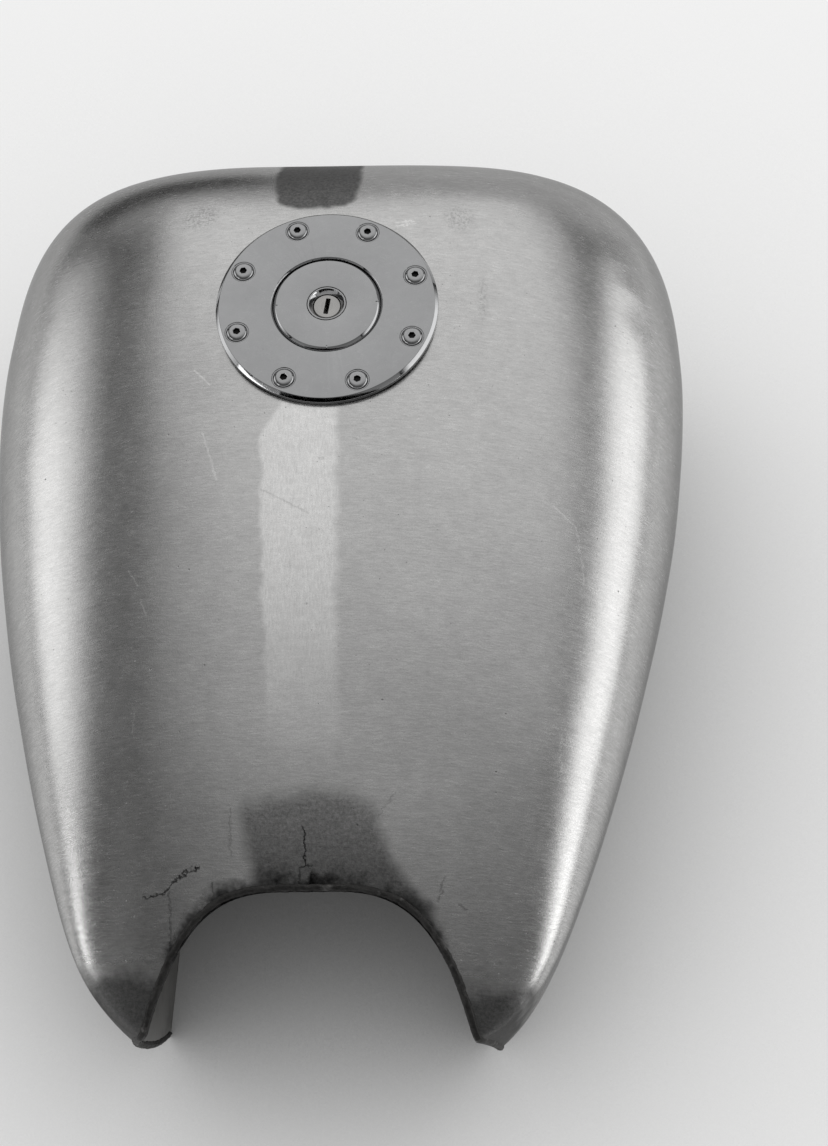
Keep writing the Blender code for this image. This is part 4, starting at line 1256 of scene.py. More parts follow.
def trim(bm: bmesh.types.BMesh, level: Callable[[Vector], float]) -> None:
    """Cuts a sheet along the line where a level is zero and drops what lies below.

    Corners that nearly meet the line are moved on to it, so that no slivers are left.

    Args:
        bm: The sheet.
        level: The level at a place.
    """
    levels = {vert: level(vert.co) for vert in bm.verts}
    nearest: dict[bmesh.types.BMVert, tuple[float, Vector]] = {}
    for edge in bm.edges:
        first, last = edge.verts
        if levels[first] * levels[last] >= 0.0:
            continue
        share = crossing(first.co, last.co, level)
        near, reach = (first, share) if share < 0.5 else (last, 1.0 - share)
        length = reach * edge.calc_length()
        if reach < SNAP and length < nearest.get(near, (FAR, near.co))[0]:
            nearest[near] = (length, first.co.lerp(last.co, share))
    for vert, (_, place) in nearest.items():
        vert.co = place
        levels[vert] = 0.0
    for edge in list(bm.edges):
        first, last = edge.verts
        if levels[first] * levels[last] < 0.0:
            share = crossing(first.co, last.co, level)
            levels[bmesh.utils.edge_split(edge, first, share)[1]] = 0.0
    for face in list(bm.faces):
        signs = [levels[vert] for vert in face.verts]
        ends = [vert for vert, before, after in zip(face.verts, signs[-1:] + signs, signs[1:] + signs[:1])
                if levels[vert] == 0.0 and min(before, after) < 0.0]
        if min(signs) < 0.0 < max(signs) and len(ends) == 2:
            bmesh.utils.face_split(face, *ends)
    below = [face for face in bm.faces if min(levels[vert] for vert in face.verts) < 0.0]
    bmesh.ops.delete(bm, geom=below, context="FACES")


# Sub-assemblies

@dataclass(frozen=True)
class WeldBead:
    """A rough bead laid along a path, as a Geometry Nodes tree."""

    radius: float = 0.0018
    lump: float = 0.0016
    lump_scale: float = 330.0
    lump_detail: float = 2.0
    step: float = 0.0012
    sides: int = 12

    def mesh(self, name: str, path: Sequence[Vector], material: Material) -> Mesh:
        """Lays the bead.

        Args:
            name: Name of the mesh.
            path: Points along the bead's middle.
            material: The bead's finish.

        Returns:
            The bead as a plain mesh.
        """
        bench = GeometryBench("weld_bead", material, **vars(self))
        given = bench.given
        curve = bench.add("GeometryNodeMeshToCurve", {"Mesh": given["shape"]})[0]
        even = bench.add("GeometryNodeResampleCurve", {"Curve": curve, "Length": given["step"]},
                         mode="LENGTH")[0]
        circle = bench.add("GeometryNodeCurvePrimitiveCircle",
                           {"Resolution": given["sides"], "Radius": given["radius"]})[0]
        tube = bench.add("GeometryNodeCurveToMesh",
                         {"Curve": even, "Profile Curve": circle, "Fill Caps": True})[0]
        rough = bench.add("ShaderNodeTexNoise",
                          {"Scale": given["lump_scale"], "Detail": given["lump_detail"]})[0]
        height = bench.product(bench.less(rough, 0.5), given["lump"])
        offset = bench.scaled(bench.add("GeometryNodeInputNormal")[0], height)
        laid = bench.add("GeometryNodeSetPosition", {"Geometry": tube, "Offset": offset})[0]
        line = bpy.data.meshes.new(name)
        line.from_pydata(path, [(index, index + 1) for index in range(len(path) - 1)], [])
        bm = bmesh.new()
        bm.from_mesh(bench.baked(line, laid))
        return mesh_from(bm, name)


@dataclass
class Skin:
    """The two pressed halves of the skin, the weld between them and the beads round the arches."""

    form: TankForm
    arch: ArchForm
    stations: int = 230
    crown: int = 64
    skirt: int = 18
    hole: float = 0.0510
    seam_half: float = 0.0030
    arch_grow: float = 0.0005
    bead_away: float = 0.0016
    bead_sunk: float = 0.55
    bead_steps: int = 120
    bead_legs: int = 10
    deepest: float = 0.0070
    wave: float = 0.00040
    wave_pitch: float = 0.050
    wave_clear: float = 0.075
    dent: tuple[Place, ...] = ((0.1482, 0.1476, 0.1723), (0.1515, 0.1340, 0.1689), (0.1529, 0.1084, 0.1651))
    dent_depth: float = 0.0007
    dent_reach: float = 0.013
    bead: WeldBead = WeldBead()
    sheet: bmesh.types.BMesh = field(init=False)
    tree: BVHTree = field(init=False)

    def __post_init__(self) -> None:
        """Lofts the whole sheet, and keeps it for the pieces that end on it."""
        self.sheet = self.draft()
        self.tree = BVHTree.FromBMesh(self.sheet)

    def bow(self, place: Vector) -> float:
        """Tells how far hand work has moved the skin in or out.

        Args:
            place: A point of the true form.

        Returns:
            The move along the normal, outwards.
        """
        near = (self.form.filler_axes.inverted() @ place).xy.length
        clear = min(1.0, max(0.0, near / self.wave_clear - 1.0))
        move = self.wave * clear * noise.noise(place / self.wave_pitch)
        knock = min((place - Vector(spot)).length for spot in self.dent) / self.dent_reach
        return move - self.dent_depth * exp(-knock * knock)

    def draft(self) -> bmesh.types.BMesh:
        """Lofts both halves as one open sheet.

        Returns:
            The sheet, with its faces pointing outwards.
        """
        grid = self.form.grid(self.stations, self.crown, self.skirt)
        bm = bmesh.new()
        for side in Side:
            rows = [[bm.verts.new((side.value * x, y, z)) for x, y, z in row] for row in grid]
            for row, after in zip(rows, rows[1:]):
                for corners in zip(row, after, after[1:], row[1:]):
                    bm.faces.new(corners if side is Side.RIGHT else corners[::-1])
        bmesh.ops.remove_doubles(bm, verts=bm.verts, dist=MERGE)
        bmesh.ops.dissolve_degenerate(bm, edges=bm.edges, dist=MERGE)
        bm.normal_update()
        moves = [vert.normal * self.bow(vert.co) for vert in bm.verts]
        for vert, move in zip(bm.verts, moves):
            vert.co += move
        return bm

    def end_at(self, x: float, z: float, end: End) -> tuple[Vector, Vector]:
        """Finds the place on the skin that ends the tank, and the way out of the skin there."""
        start = Vector((x, end.value * FAR, max(z, WALL)))
        return self.tree.ray_cast(start, Vector((0.0, -end.value, 0.0)))[:2]

    def inside_at(self, x: float, z: float, end: End) -> float:
        """Finds how far along a sheet may run before it meets the inside of the skin."""
        place, facing = self.end_at(x, z, end)
        return place.y - end.value * min(self.deepest, (WALL + GAP) / abs(facing.y))

    def walled(self, name: str, *levels: Callable[[Vector], float]) -> Mesh:
        """Cuts a piece out of the sheet and gives it its thickness.

        Args:
            name: Name of the mesh.
            levels: Levels that the piece is trimmed by.

        Returns:
            The piece.
        """
        bm = self.sheet.copy()
        for level in levels:
            trim(bm, level)
        obj = linked(mesh_from(bm, name, closed=False), name)
        return smoothed(baked(modified(obj, "SOLIDIFY", thickness=WALL, offset=-1.0, use_even_offset=True,
                                       use_quality_normals=True)))

    def arch_bead(self, name: str, end: End, material: Material) -> Mesh:
        """Lays the bead round one end of the channel.

        Args:
            name: Name of the mesh.
            end: Which end.
            material: The bead's finish.

        Returns:
            The bead.
        """
        foot = self.bead.radius + self.bead.lump
        near, far = (self.arch.path(grow, self.bead_steps, self.bead_legs, foot)
                     for grow in (self.arch_grow, self.arch_grow + self.bead_away))
        path = []
        for (x, z), (out_x, out_z) in zip(near, far):
            move = Vector((out_x - x, 0.0, out_z - z))
            slant = move.normalized().dot(self.end_at(x, z, end)[1])
            move *= sqrt(max(0.0, 1.0 - slant * slant))
            place, facing = self.end_at(x + move.x, z + move.z, end)
            path.append(Vector((place.x, place.y, z + move.z)) - self.bead_sunk * self.bead.radius * facing)
        return self.bead.mesh(name, path, material)

    def build(self, steel: Material, scale: Material) -> None:
        """Makes the halves, the seam and the beads.

        Args:
            steel: Finish of the sheet and of the ground seam.
            scale: Finish of the beads.
        """
        to_filler = self.form.filler_axes.inverted()
        trim(self.sheet, lambda place: (to_filler @ place).xy.length - self.hole)
        trim(self.sheet, lambda place: self.arch.outside(place, self.arch_grow))
        half, ahead = self.seam_half, self.form.filler_y
        pieces = (("right_skin", Slot.RAW_STEEL, "right_shell", (lambda place: place.x - half,)),
                  ("left_skin", Slot.RAW_STEEL, "left_shell", (lambda place: -place.x - half,)),
                  ("front_seam", Slot.WELD, "front_seam_weld",
                   (lambda place: half - abs(place.x), lambda place: place.y - ahead)),
                  ("rear_seam", Slot.WELD, "rear_seam_weld",
                   (lambda place: half - abs(place.x), lambda place: ahead - place.y)))
        for name, slot, node, levels in pieces:
            settle(name, self.walled(name, *levels), steel, slot, node)
        for end in (End.FRONT, End.REAR):
            name = f"{end.name.lower()}_arch_bead"
            settle(name, self.arch_bead(name, end, scale), scale, Slot.WELD,
                   f"{end.name.lower()}_arch_weld")


@dataclass
class Underside:
    """The channel over the frame, the two floors and the fittings in them."""

    skin: Skin
    run_steps: int = 120
    arc_steps: int = 96
    heat_and_shade_reach: float = 0.040
    legs: int = 6
    floor_height: float = 0.0100
    floor_inner: float = 0.0798
    floor_tip: float = 0.0010
    outline_points: int = 260
    outlet: Point = (-0.111169, -0.012672)
    outlet_radius: float = 0.0120
    outlet_bore: float = 0.0070
    outlet_levels: Point = (0.0020, 0.0180)
    barb_across: float = 0.118984
    barb_along: float = 0.097328
    barb_radius: float = 0.0048
    barb_bore: float = 0.0026
    barb_relief: float = 0.00055
    barb_levels: Point = (0.0020, 0.0160)
    barb_tip: float = 0.0030
    thread: float = 0.00125
    ease: float = 0.0006

    def channel(self) -> Mesh:
        """Bends the channel's sheet between the skin's two ends.

        Returns:
            The sheet.
        """
        bm = bmesh.new()
        heat = bm.verts.layers.float.new(SheetSteel.HEAT)
        faces = []
        for grow in (0.0, WALL):
            rows = []
            for x, z in self.skin.arch.path(grow, self.arc_steps, self.legs, 0.0):
                rear = self.skin.inside_at(x, z, End.REAR)
                front = self.skin.inside_at(x, z, End.FRONT)
                row = []
                for step in range(self.run_steps + 1):
                    along = rear + (front - rear) * step / self.run_steps
                    row.append(bm.verts.new((x, along, z)))
                    # Weld heat and painted shade grow towards the channel's two ends.
                    row[-1][heat] = exp(-min(along - rear, front - along) / self.heat_and_shade_reach)
                rows.append(row)
            for row, after in zip(rows, rows[1:]):
                for corners in zip(row, after, after[1:], row[1:]):
                    bm.faces.new(corners)
            faces.append(rows)
        inner, outer = faces
        rims = [(inner[0], outer[0]), (inner[-1], outer[-1])]
        rims += [([row[k] for row in inner], [row[k] for row in outer]) for k in (0, -1)]
        for near, far in rims:
            for corners in zip(near, near[1:], far[1:], far):
                bm.faces.new(corners)
        return mesh_from(bm, "channel")

    def floor_outline(self, side: Side) -> list[Point]:
        """Draws a floor between the channel and the inside of the skin.

        Args:
            side: Which floor.

        Returns:
            Its outline, seen from above.
        """
        form = self.skin.form
        down = 1.0 - self.floor_height / form.waist_front
        x, y = form.skirt(*form.waist(self.outline_points), down)
        run_x, run_y = np.gradient(x), np.gradient(y)
        length = np.hypot(run_x, run_y)
        inset = WALL + GAP
        x, y = x + inset * run_y / length, y - inset * run_x / length + form.filler_y
        kept = x > self.floor_inner + self.floor_tip
        outline = [(side.value * float(a), float(b)) for a, b in zip(x[kept], y[kept])]
        foot = side.value * self.floor_inner
        return [(foot, outline[0][1]), *outline, (foot, outline[-1][1])]

    def floor(self, side: Side) -> Mesh:
        """Makes a floor with holes for its fittings.

        Args:
            side: Which floor.

        Returns:
            The floor.
        """
        name = f"floor_{side.name.lower()}"
        flat = Matrix.Identity(4)
        low, high = self.floor_height, self.floor_height + WALL
        plate = prism(name, self.floor_outline(side), low, high, flat)
        reach = (low - WALL, high + WALL)
        holes = [rods("barb_hole", [(side.value * self.barb_across, self.barb_along)],
                      rod(self.barb_radius + GAP, *reach), flat)]
        if side is Side.LEFT:
            holes.append(rods("outlet_hole", [self.outlet], rod(self.outlet_radius + GAP, *reach), flat))
        return carved(plate, *holes)

    def outlet_bung(self, axes: Matrix) -> Mesh:
        """Turns the outlet's bung, with a thread in its bore.

        Args:
            axes: Frame on the bung's axis.

        Returns:
            The bung.
        """
        low, high = self.outlet_levels
        bore, ease_by = self.outlet_bore, 1.5 * self.ease
        profile = [(self.outlet_radius - ease_by, high), (self.outlet_radius, high - ease_by),
                   (self.outlet_radius, low + ease_by), (self.outlet_radius - ease_by, low),
                   (bore + 2.0 * self.ease, low)]
        profile += threaded(bore, low + 2.0 * self.ease, high - 2.0 * self.ease, self.thread)
        return turned("outlet", profile + [(bore + 2.0 * self.ease, high)], axes, 96)

    def barb(self, axes: Matrix) -> Mesh:
        """Turns a hose barb.

        Args:
            axes: Frame on the barb's axis.

        Returns:
            The barb.
        """
        low, high = self.barb_levels
        radius, neck = self.barb_radius, self.barb_radius - self.barb_relief
        tip, shoulder = low + self.barb_tip, self.floor_height - GAP
        corners = [(radius, high, self.ease), (radius, shoulder, 0.0002), (neck, shoulder - GAP, 0.0001),
                   (neck, tip, 0.0001), (radius, tip, 0.0001), (neck, low, 0.0002),
                   (self.barb_bore, low, 0.0003), (self.barb_bore, high, 0.0003)]
        return turned("barb", rounded(corners), axes, 72)

    def build(self, sheet: Material) -> None:
        """Makes the channel, the floors and the fittings.

        Args:
            sheet: Finish of the sheet.
        """
        settle("channel", self.channel(), sheet, Slot.RAW_STEEL, "tunnel")
        for side in Side:
            word = side.name.lower()
            settle(f"floor_{word}", self.floor(side), sheet, Slot.RAW_STEEL, f"{word}_floor")
            axes = Matrix.Translation((side.value * self.barb_across, self.barb_along, 0.0))
            brass = Turned(f"brass_barb_{word}", axes, grey=0.60, rough=0.26,
                           color=(1.0, 0.74, 0.36)).material()
            settle(f"barb_{word}", self.barb(axes), brass, Slot.BRASS, f"crossover_fitting_{word}")
        axes = Matrix.Translation((*self.outlet, 0.0))
        steel = Turned("turned_outlet", axes).material()
        settle("outlet", self.outlet_bung(axes), steel, Slot.TURNED_STEEL, "outlet_bung")


@dataclass
class Mounts:
    """The two tapped bosses at the front and the bushed tab at the rear."""

    arch: ArchForm
    boss_place: Point = (0.117328, 0.0170)
    boss_radius: float = 0.0100
    boss_ends: Point = (0.0622, 0.0772)
    boss_tap: float = 0.0040
    boss_tap_depth: float = 0.0120
    tab_along: float = -0.132672
    eye_height: float = 0.1038
    eye_radius: float = 0.0170
    tab_flare: float = 0.0050
    tab_thickness: float = 0.0050
    bush_radius: float = 0.0110
    bush_flange: float = 0.0150
    bush_flange_thickness: float = 0.0040
    sleeve_radius: float = 0.0062
    sleeve_bore: float = 0.0042
    thread: float = 0.00125
    ease: float = 0.0008
    top_steps: int = 16
    eye_steps: int = 40

    def boss(self, axes: Matrix) -> Mesh:
        """Turns a boss with a tapped blind hole.

        Args:
            axes: Frame on its axis, whose Z points away from the tank's middle.

        Returns:
            The boss.
        """
        face, back = self.boss_ends
        radius, tap, deep = self.boss_radius, self.boss_tap, face + self.boss_tap_depth
        profile = [(0.0, back), (radius, back), (radius, face + self.ease), (radius - self.ease, face),
                   (tap + self.ease, face)]
        profile += threaded(tap, face + self.ease, deep - 2.0 * self.ease, self.thread)
        return turned("boss", profile + [(tap, deep - self.ease), (0.0, deep)], axes, 96)

    def roof(self, x: float) -> float:
        """Height of the channel's roof at a place across."""
        arch = self.arch
        share = (1.0 - (abs(x) / arch.half_width) ** arch.power) ** (1.0 / arch.power)
        return arch.spring + (arch.height - arch.spring) * share

    def tab(self, axes: Matrix) -> Mesh:
        """Cuts the tab that hangs from the roof.

        Args:
            axes: Frame with Y up and Z backwards.

        Returns:
            The tab.
        """
        half = self.eye_radius + self.tab_flare
        places = [half - 2.0 * half * step / self.top_steps for step in range(self.top_steps + 1)]
        outline = [(x, self.roof(x) - GAP) for x in places]
        turns = [pi * (1.0 + step / self.eye_steps) for step in range(self.eye_steps + 1)]
        outline += [(self.eye_radius * cos(turn), self.eye_height + self.eye_radius * sin(turn))
                    for turn in turns]
        reach = 0.5 * self.tab_thickness
        plate = prism("tab", outline, -reach, reach, axes)
        profile = rod(self.bush_radius + GAP, -2.0 * reach, 2.0 * reach)
        hole = rods("eye", [(0.0, self.eye_height)], profile, axes, 72)
        return softened(carved(plate, hole), 0.5 * self.ease)

    def bush(self, axes: Matrix) -> Mesh:
        """Turns the flanged rubber bush, with a groove moulded in each flange.

        Args:
            axes: Frame on its axis.

        Returns:
            The bush.
        """
        inner = 0.5 * self.tab_thickness + GAP
        outer = inner + self.bush_flange_thickness
        bore, flange, core = self.sleeve_radius + GAP, self.bush_flange, self.bush_radius
        groove = 0.5 * (bore + flange)
        half = [(core, inner, 0.0), (flange, inner, self.ease), (flange, outer, self.ease),
                (groove + self.ease, outer, 0.0003), (groove, outer - self.ease, 0.0002),
                (groove - self.ease, outer, 0.0003), (bore, outer, 0.0004)]
        other = [(radius, -level, round_by) for radius, level, round_by in reversed(half)]
        return turned("bush", rounded(half + other), axes, 96)

    def build(self, sheet: Material, rubber: Material) -> None:
        """Makes the bosses and the rear mount.

        Args:
            sheet: Finish of the tab.
            rubber: Finish of the bush.
        """
        for side in Side:
            word = side.name.lower()
            axes = (Matrix.Translation((0.0, *self.boss_place))
                    @ Matrix.Rotation(side.value * 0.5 * pi, 4, "Y"))
            steel = Turned(f"turned_boss_{word}", axes).material()
            settle(f"boss_{word}", self.boss(axes), steel, Slot.TURNED_STEEL, f"front_mount_boss_{word}")
        upright = Matrix.Rotation(0.5 * pi, 4, "X")
        tab = self.tab(Matrix.Translation((0.0, self.tab_along, 0.0)) @ upright)
        settle("mount_tab", tab, sheet, Slot.RAW_STEEL, "rear_mount_tab")
        axes = Matrix.Translation((0.0, self.tab_along, self.eye_height)) @ upright
        settle("mount_bush", self.bush(axes), rubber, Slot.RUBBER, "rear_mount_bush")
        end = 0.5 * self.tab_thickness + self.bush_flange_thickness + 2.0 * GAP
        corners = ring_corners(self.sleeve_bore, self.sleeve_radius, -end, end, 0.0005)
        steel = Turned("turned_sleeve", axes).material()
        settle("mount_sleeve", turned("sleeve", rounded(corners), axes, 96), steel,
               Slot.TURNED_STEEL, "rear_mount_sleeve")


@dataclass(frozen=True)
class SocketScrew:
    """A screw with a hexagon socket, standing on its tip along Z."""

    rings: tuple[Point, ...]
    across_flats: float
    socket_depth: float
    top: float
    socket_lip: float = 0.00015
    socket_cone: float = 0.0004
    steps: int = 48

    def flat(self, turn: float) -> float:
        """Radius of the socket's hexagon in a direction."""
        return 0.5 * self.across_flats / cos(remainder(turn, pi / 3.0))

    def mesh(self, name: str) -> Mesh:
        """Makes the screw.

        Args:
            name: Name of the mesh.

        Returns:
            The screw about its own axis.
        """
        facing = copysign(1.0, self.top - self.rings[0][1])
        deep = self.top - facing * self.socket_depth
        lip = self.top - facing * self.socket_lip
        turns = [tau * step / self.steps for step in range(self.steps)]
        circles = [[(radius, level)] * self.steps for radius, level in self.rings]
        for grow, level in ((self.socket_lip, self.top), (0.0, lip), (0.0, deep)):
            circles.append([(self.flat(turn) + grow, level) for turn in turns])
        bm = bmesh.new()
        # Marks the socket's walls and floor, which the polished finish darkens as painted shade.
        painted_socket_shade = bm.verts.layers.float.new(Polished.PAINTED_SOCKET_SHADE)
        rows = [[bm.verts.new((radius * cos(turn), radius * sin(turn), level))
                 for turn, (radius, level) in zip(turns, circle)] for circle in circles]
        for row, after in zip(rows, rows[1:]):
            for step in range(self.steps):
                bm.faces.new((row[step - 1], row[step], after[step], after[step - 1]))
        for row, level in ((rows[0], self.rings[0][1]), (rows[-1], deep - facing * self.socket_cone)):
            middle = bm.verts.new((0.0, 0.0, level))
            middle[painted_socket_shade] = 1.0
            for step in range(self.steps):
                bm.faces.new((row[step - 1], row[step], middle))
        for vert in rows[-1] + rows[-2]:
            vert[painted_socket_shade] = 1.0
        return mesh_from(bm, name)


@dataclass(frozen=True)
class ScrewRing:
    """Screws evenly round a circle, each turned at random, as a Geometry Nodes tree."""

    count: int
    circle: float
    phase: float
    seed: int = 7

    @property
    def places(self) -> list[Point]:
        """Where the screws stand in the circle's frame."""
        angles = [self.phase + tau * index / self.count for index in range(self.count)]
        return [(self.circle * cos(angle), self.circle * sin(angle)) for angle in angles]

    def mesh(self, screw: Mesh, axes: Matrix, material: Material) -> Mesh:
        """Stands the screws in their ring.

        Args:
            screw: One screw.
            axes: Frame that the circle lies in.
            material: The screws' finish.

        Returns:
            All of them as a plain mesh.
        """
        bench = GeometryBench("screw_ring", material, count=self.count, circle=self.circle,
                              phase=(0.0, 0.0, self.phase), seed=self.seed,
                              place=tuple(axes.to_translation()), tilt=tuple(axes.to_euler()))
        given = bench.given
        ring = bench.add("GeometryNodeMeshCircle", {"Vertices": given["count"], "Radius": given["circle"]})[0]
        start = bench.add("GeometryNodeTransform", {"Geometry": ring, "Rotation": given["phase"]})[0]
        chance = bench.add("FunctionNodeRandomValue",
                           {0: ORIGIN, 1: (0.0, 0.0, tau), "Seed": given["seed"]},
                           data_type="FLOAT_VECTOR")[0]
        copies = bench.add("GeometryNodeInstanceOnPoints",
                           {"Points": start, "Instance": given["shape"], "Rotation": chance})[0]
        stood = bench.add("GeometryNodeTransform",
                          {"Geometry": copies, "Translation": given["place"], "Rotation": given["tilt"]})[0]
        return smoothed(bench.baked(screw, stood))


@dataclass
class Filler:
    """The neck in the skin, and the polished bezel with its gasket and screws."""

    axes: Matrix
    bore: float = 0.0261
    throat: float = 0.0196
    groove: float = 0.0316
    body: float = 0.0366
    rim: float = 0.0507
    neck_top: float = -0.0012
    flange_base: float = -0.0092
    lip: float = -0.0098
    seat: float = -0.0156
    base: float = -0.0198
    gasket_levels: Point = (-0.0009, 0.0001)
    gasket_bore: float = 0.0308
    bezel_levels: Point = (0.0004, 0.0038)
    bezel_radius: float = 0.0522
    bezel_bore: float = 0.0256
    bezel_edge: float = 0.0016
    bore_edge: float = 0.0007
    screws: ScrewRing = ScrewRing(8, 0.0440, radians(20.4))
    screw_head: float = 0.00475
    screw_flat: float = 0.0028
    screw_rim: float = 0.0009
    screw_point: float = 0.0005
    screw_ease: float = 0.0002
    screw_height: float = 0.0026
    screw_shank: float = 0.0025
    screw_grip: float = 0.0110
    screw_hex: float = 0.0030
    screw_hex_depth: float = 0.0016
    sink: float = 0.00495
    sink_depth: float = 0.0018
    spot: float = 0.0057
    spot_depth: float = 0.0003
    dome_steps: int = 8

    @property
    def screw_seat(self) -> float:
        """Level of the underside of the screws' heads."""
        return self.bezel_levels[1] - self.sink_depth + GAP

    def neck(self) -> Mesh:
        """Turns the neck and drills it for the screws.

        Returns:
            The neck.
        """
        corners = [(self.rim, self.neck_top, 0.0004), (self.rim, self.flange_base, 0.0004),
                   (self.body, self.flange_base, 0.0010), (self.body, self.base, 0.0006),
                   (self.throat, self.base, 0.0008), (self.throat, self.seat, 0.0006),
                   (self.groove, self.seat, 0.0003), (self.groove, self.lip, 0.0003),
                   (self.bore, self.lip, 0.0003), (self.bore, self.neck_top, 0.0005)]
        ring = turned("neck", rounded(corners), self.axes)
        tip = self.screw_seat - self.screw_grip - GAP
        holes = rods("taps", self.screws.places, rod(self.screw_shank + GAP, tip, self.neck_top + WALL),
                     self.axes)
        return carved(ring, holes)

    def gasket(self) -> Mesh:
        """Cuts the gasket.

        Returns:
            The gasket.
        """
        low, high = self.gasket_levels
        corners = ring_corners(self.gasket_bore, self.rim - GAP, low, high, 0.0003)
        profile = rod(self.screw_shank + GAP, low - WALL, high + WALL)
        holes = rods("gasket_holes", self.screws.places, profile, self.axes)
        return carved(turned("gasket", rounded(corners), self.axes), holes)

    def bezel(self) -> Mesh:
        """Turns the bezel, bevelled at its rim and bore, and sinks it for the screws.

        Returns:
            The bezel.
        """
        low, high = self.bezel_levels
        edge = self.bore_edge
        rim, slope = self.bezel_radius, self.bezel_edge
        corners = [(rim - slope, high, 0.0004), (rim, high - slope, 0.0005), (rim, low, 0.0003),
                   (self.bezel_bore, low, 0.0003), (self.bezel_bore, high - edge, 0.0001),
                   (self.bezel_bore + edge, high, 0.0001)]
        ring = turned("bezel", rounded(corners, 10), self.axes, 256)
        floor, sink, ledge = high - self.sink_depth, self.sink, high - self.spot_depth
        hollow = [(0.0, high + GAP), (self.spot + GAP, high + GAP), (self.spot - GAP, ledge),
                  (sink + 0.0001, ledge), (sink, ledge - 0.0001), (sink, floor), (0.0, floor)]
        places = self.screws.places
        sinks = rods("sinks", places, hollow, self.axes, 64)
        holes = rods("holes", places, rod(self.screw_shank + GAP, low - WALL, high), self.axes, 48)
        return carved(ring, sinks, holes)

    def screw(self) -> Mesh:
        """Makes one button head screw.

        Returns:
            The screw about its own axis, at its level in the filler's frame.
        """
        seat, shank, head = self.screw_seat, self.screw_shank, self.screw_head
        tip, top, rim = seat - self.screw_grip, seat + self.screw_height, seat + self.screw_rim
        point, round_by = self.screw_point, self.screw_ease
        rings = [(shank - point, tip), (shank, tip + point), (shank, seat), (head - round_by, seat),
                 (head, seat + round_by)]
        for step in range(self.dome_steps + 1):
            turn = 0.5 * pi * step / self.dome_steps
            rings.append((self.screw_flat + (head - self.screw_flat) * cos(turn),
                          rim + (top - rim) * sin(turn)))
        return SocketScrew(tuple(rings), self.screw_hex, self.screw_hex_depth, top).mesh("bezel_screws")

    def build(self, plate: Material, rubber: Material) -> None:
        """Makes the neck, the gasket, the bezel and its screws.

        Args:
            plate: Finish of the bezel and the screws.
            rubber: Finish of the gasket.
        """
        steel = Turned("turned_neck", self.axes).material()
        settle("neck", self.neck(), steel, Slot.TURNED_STEEL, "filler_neck")
        settle("gasket", self.gasket(), rubber, Slot.RUBBER, "bezel_gasket")
        settle("bezel", self.bezel(), plate, Slot.POLISHED, "bezel_ring")
        names = [f"bezel_screw_{index + 1}" for index in range(self.screws.count)]
        screws = self.screws.mesh(self.screw(), self.axes, plate)
        settle("bezel_screws", screws, plate, Slot.POLISHED, *names)


